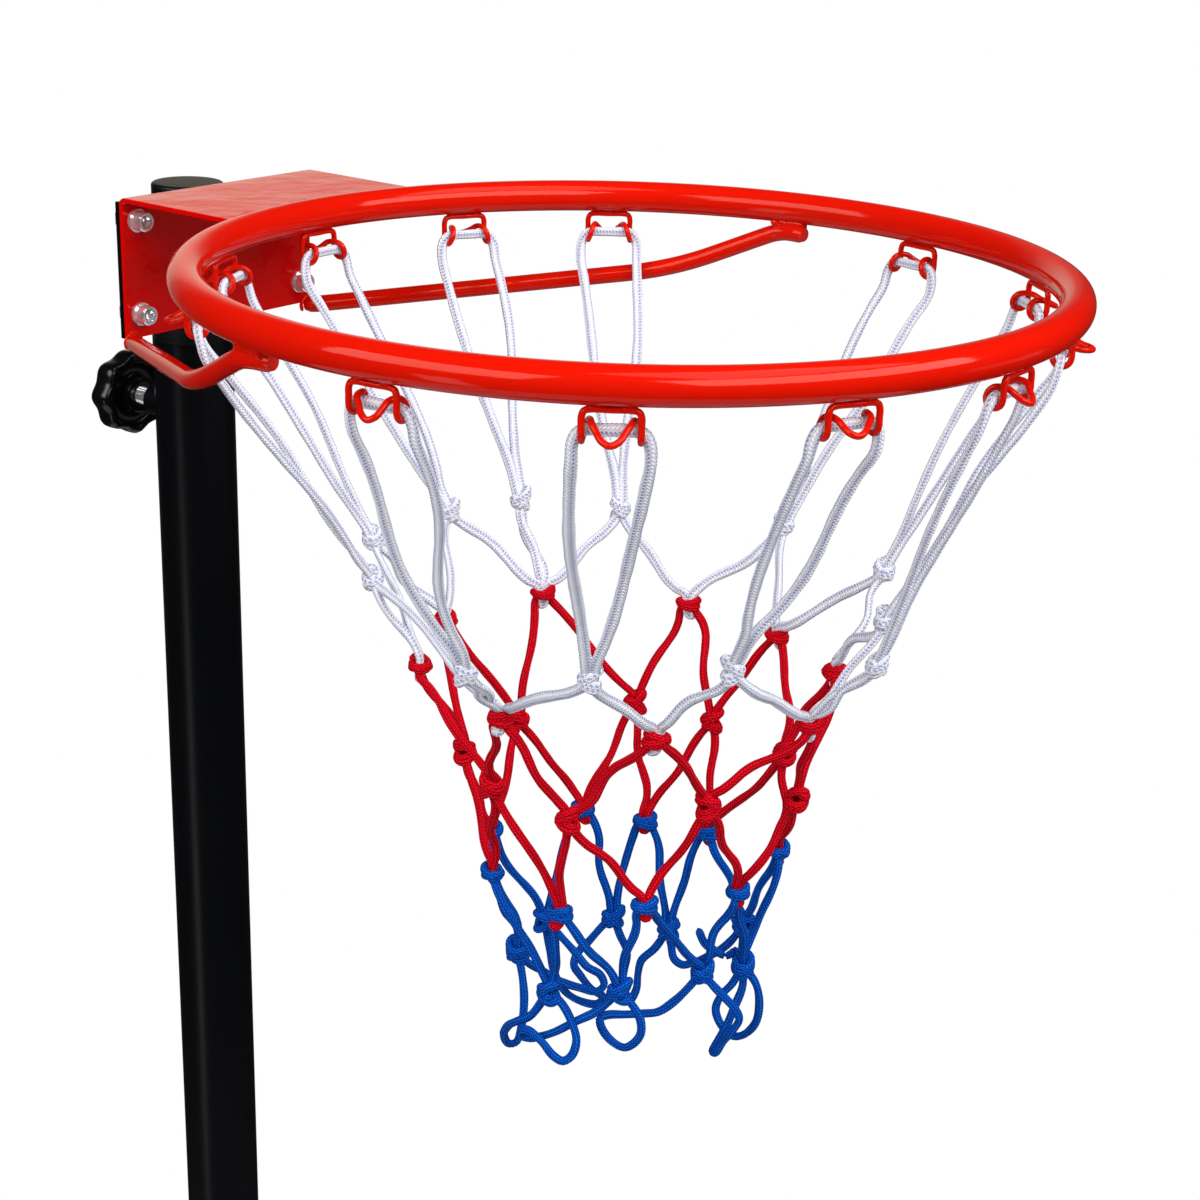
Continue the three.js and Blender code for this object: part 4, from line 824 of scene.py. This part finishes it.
# Clamp: a threaded steel boss is welded behind the post. A zinc-plated screw in it presses a nylon pad on
# the mast, and a lobed knob of moulded plastic with a round hub is fixed on the screw's end.
CLAMP_Z, KNOB_FACE, KNOB_R, KNOB_LOBES, LOBE_DEPTH = 2319.35, 47.0, 23.5, 8, 1.1
BOSS_WELD, THREAD_FOOT, THREAD_DEPTH, THREAD_PITCH = 9.3, 4.35, 0.6, 1.5
CLAMP_AXIS = (0, 0, CLAMP_Z)
boss_profile = [(5.2, 20.0), (9.0, 20.0), (9.0, 32.5), (8.5, 33.0), (5.5, 33.0), (5.2, 32.7)]
boss = turned(boss_profile, CLAMP_AXIS, "Y", 64)
lay_piece("clamp_boss_body", [boss], "frame", BLACK_COAT, ["clamp_boss"], sharp=35.0)
angle = np.linspace(0, 2 * np.pi, 25)
x, z = BOSS_WELD * np.cos(angle), CLAMP_Z + BOSS_WELD * np.sin(angle)
ring = np.stack([x, np.sqrt(OUTER_R**2 - x**2) + 0.4, z], 1)
line = run_through(ring[:-1], BEAD_STEP, closed=True)
swell = 1.5 + 0.2 * np.sin(np.arange(len(line)) * 1.1)
lay_piece("weld_boss", [tube(line, swell, 14, (0, 1, 0), closed=True)], "frame", BLACK_COAT)
y = np.arange(22.0, 49.5, 0.25)
thread = np.stack([THREAD_FOOT + THREAD_DEPTH * (1 - np.abs(2 * ((y / THREAD_PITCH) % 1.0) - 1)), y], 1)
screw_profile = np.vstack([(3.6, 21.75), thread, (4.3, 50.0), (4.3, 54.0)])
screw = turned(screw_profile, CLAMP_AXIS, "Y", SCREW_SIDES, closed=False)
lay_piece("clamp_screw_body", [screw], "knob", ZINC, ["clamp_screw"], sharp=60.0)


def lobed_knob():
    """Rings of a share of the lobed outline, whose radius falls between lobes by one less the cosine."""
    angle = np.arange(192) * 2 * np.pi / 192
    lobed = KNOB_R - LOBE_DEPTH * (1 - np.cos(KNOB_LOBES * angle))
    rows = np.array([(0.225, 0.0), (0.40, 0.0), (0.41, 0.4), (0.43, 3.6), (0.47, 4.0), (0.70, 4.0),
                     (0.74, 3.6), (0.76, 0.5), (0.79, 0.0), (0.90, 0.2), (0.96, 1.2), (0.992, 3.0),
                     (1.0, 5.5), (1.0, 8.5), (0.992, 11.0), (0.96, 12.8), (0.90, 13.7), (0.80, 14.0),
                     (0.45, 14.0), (0.05, 14.0)])
    share, run = rows[:, :1], rows[:, 1:]
    reach = share * np.where(share > 0.77, lobed, KNOB_R)
    return np.stack([reach * np.sin(angle), KNOB_FACE + np.broadcast_to(run, reach.shape),
                     CLAMP_Z + reach * np.cos(angle)], -1), False


KNOB_PLASTIC = finish_coat("knob_plastic", (0.0030, 0.0030, 0.0034), rough=0.20, specular=0.5, grain=0.05,
                           grain_scale=900.0)
hub_profile = [(5.15, 44.2), (9.4, 44.0), (10.0, 44.5), (10.0, 51.0), (5.15, 51.0)]
hub = turned(hub_profile, CLAMP_AXIS, "Y", 64)
lay_piece("clamp_knob_body", [lobed_knob(), hub], "knob", KNOB_PLASTIC,
          ["clamp_knob"], sharp=45.0)


# Wheels: two discs of hard moulded plastic with a dished web, a stout hub and a rounded tread. They turn
# on a steel axle across the base's nose.
WHEEL = finish_coat("wheel_plastic", (0.010, 0.010, 0.011), rough=0.40, specular=0.4, grain=0.25,
                    grain_scale=1500.0)
WHEEL_PLACE, WHEEL_R = (209.2, -282.0, 64.0), 60.0
half_wheel = [(47.0, 15.0), (46.3, 14.6), (46.0, 9.4), (45.2, 8.2), (44.0, 8.0), (19.0, 8.0), (17.6, 8.4),
              (17.0, 9.6), (17.0, 16.2), (16.2, 17.0), (5.2, 17.0)]
tread = [(WHEEL_R, 8.0), (WHEEL_R - 0.2, 9.8), (WHEEL_R - 1.0, 12.0), (WHEEL_R - 2.6, 14.3),
         (WHEEL_R - 4.6, 15.0)]
outer_half = np.array(tread + half_wheel)
wheel_profile = np.vstack([outer_half[::-1] * (1, -1), outer_half])
for label, side in (("left", -1), ("right", 1)):
    place = (side * WHEEL_PLACE[0], WHEEL_PLACE[1], WHEEL_PLACE[2])
    wheel = turned(wheel_profile, place, "X", 128)
    lay_piece(f"wheel_{label}_body", [wheel], f"{label}_wheel", WHEEL,
              [f"wheel_{label}"], sharp=40.0)


# Base tank: a blow moulded shell of black polyethylene with round edges, notched at the nose for the
# wheels. A cone on its deck holds the post, a flute runs along each side, and a neck takes the filler cap.
TANK = finish_coat("tank_plastic", (0.012, 0.012, 0.013), rough=0.46, specular=0.4, grain=0.35,
                   grain_scale=1200.0)
TANK_HALF, TANK_END, TANK_CORNER, TANK_EDGE, DECK = 250.0, 330.0, 110.0, 20.0, 140.0
NOTCH_X, NOTCH_Y, CONE_FOOT, CONE_TOP, CONE_RISE = 192.0, -190.0, 95.0, 46.0, 46.0
FLUTE_X, FLUTE_HALF, FLUTE_REACH, FLUTE_DEPTH, FLUTE_LIP, FLUTE_SLOPE = 150.0, 22.0, 143.0, 12.0, 2.5, 6.0
NECK, NECK_R, NECK_INSIDE, NECK_RISE = (78.0, 215.0), 23.0, 19.5, 12


def deck_height(x, y):
    """The deck's level, less the flutes: a smooth step across the edge of a bar with round ends."""
    edge = np.hypot(np.abs(x) - FLUTE_X, np.maximum(np.abs(y) - FLUTE_REACH, 0)) - FLUTE_HALF
    share = np.clip((FLUTE_LIP - edge) / FLUTE_SLOPE, 0, 1)
    return DECK - FLUTE_DEPTH * share**2 * (3 - 2 * share)


def moulded_tank():
    """Rings of the plan up a round edge, the wall and another edge, in over the deck by shares towards a
    circle, and up the cone as circles."""
    middle = np.array([TANK_HALF - TANK_CORNER, TANK_END - TANK_CORNER])
    arc = np.radians(np.linspace(0, 90, 60))
    corner = middle + TANK_CORNER * np.stack([np.cos(arc), np.sin(arc)], 1)
    nose = corner[corner[:, 0] < NOTCH_X] * (1, -1)
    low = nose[0, 1]
    walls = [((0.0, TANK_END), (-middle[0], TANK_END), 30),
             ((-TANK_HALF, middle[1]), (-TANK_HALF, NOTCH_Y), 110),
             ((-TANK_HALF, NOTCH_Y), (-NOTCH_X, NOTCH_Y), 24),
             ((-NOTCH_X, NOTCH_Y), (-NOTCH_X, low), 44),
             ((-middle[0], -TANK_END), (0.0, -TANK_END), 40)]
    back, side, step, cheek, front = (np.linspace(a, b, n, endpoint=False) for a, b, n in walls)
    half = np.vstack([back, corner[::-1] * (-1, 1), side[1:], step, cheek, nose * (-1, 1), front[1:]])
    plan = np.vstack([half, [(0.0, -TANK_END)], half[:0:-1] * (-1, 1)])
    turn = np.radians(np.linspace(-90, 0, 8))
    insets = TANK_EDGE * (1 - np.cos(np.concatenate([turn, -turn[::-1]])))
    heights = np.concatenate([TANK_EDGE * (1 + np.sin(turn)), DECK - TANK_EDGE * (1 + np.sin(turn[::-1]))])
    away = np.linalg.norm(plan, axis=1, keepdims=True)
    rings = [np.column_stack([plan * (1 - inset / away), np.full(len(plan), z)])
             for inset, z in zip(insets, heights)]
    inner = rings[-1][:, :2]
    for share in np.linspace(0, 1, 90)[1:]:
        ring = inner * (1 - share) + plan / away * (CONE_FOOT + 3.0) * share
        rings.append(np.column_stack([ring, deck_height(*ring.T)]))
    cone = ((CONE_FOOT + 1, 0.2), (CONE_FOOT - 1, 1.6), (CONE_FOOT - 4, 4.2),
            (CONE_TOP + 4, CONE_RISE - 4.2), (CONE_TOP + 1, CONE_RISE - 1.4),
            (CONE_TOP - 1.5, CONE_RISE), (LOWER_R + 0.3, CONE_RISE))
    for radius, rise in cone:
        rings.append(np.column_stack([plan / away * radius, np.full(len(plan), DECK + rise)]))
    return np.array(rings), False


neck_profile = [(NECK_INSIDE, DECK - 1), (NECK_R, DECK - 1), (NECK_R, DECK + NECK_RISE),
                (NECK_INSIDE, DECK + NECK_RISE)]
neck = turned(neck_profile, (*NECK, 0), "Z", 64)
lay_piece("base_tank_body", [moulded_tank(), neck], "frame", TANK,
          ["base_tank"], sharp=35.0)


# Nuts, joint bolt, axle, pad, collar and caps: plain turned and moulded parts whose CAD shapes are right.
# They keep them, with their round faces smoothed, and get their own finish.
NYLON = finish_coat("pad_nylon", (0.72, 0.70, 0.62), rough=0.45, specular=0.4, grain=0.1,
                    grain_scale=1500.0)
KEPT_SHAPES = [
    (ZINC, ["nut_1", "nut_2", "nut_3", "nut_4", "joint_bolt", "joint_nut", "axle"], 40.0),
    (NYLON, ["clamp_pad"], 30.0),
    (BLACK_PLASTIC, ["joint_collar", "filler_cap", "axle_cap_left", "axle_cap_right"], 35.0),
]
for material, names, sharp in KEPT_SHAPES:
    for name in names:
        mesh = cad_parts[name].data
        mesh.materials.clear()
        mesh.materials.append(material)
        mesh.polygons.foreach_set("use_smooth", [True] * len(mesh.polygons))
        mesh.set_sharp_from_angle(angle=math.radians(sharp))
        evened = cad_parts[name].modifiers.new("evened", "WEIGHTED_NORMAL")
        evened.keep_sharp = True
        evened.mode = "FACE_AREA_WITH_ANGLE"
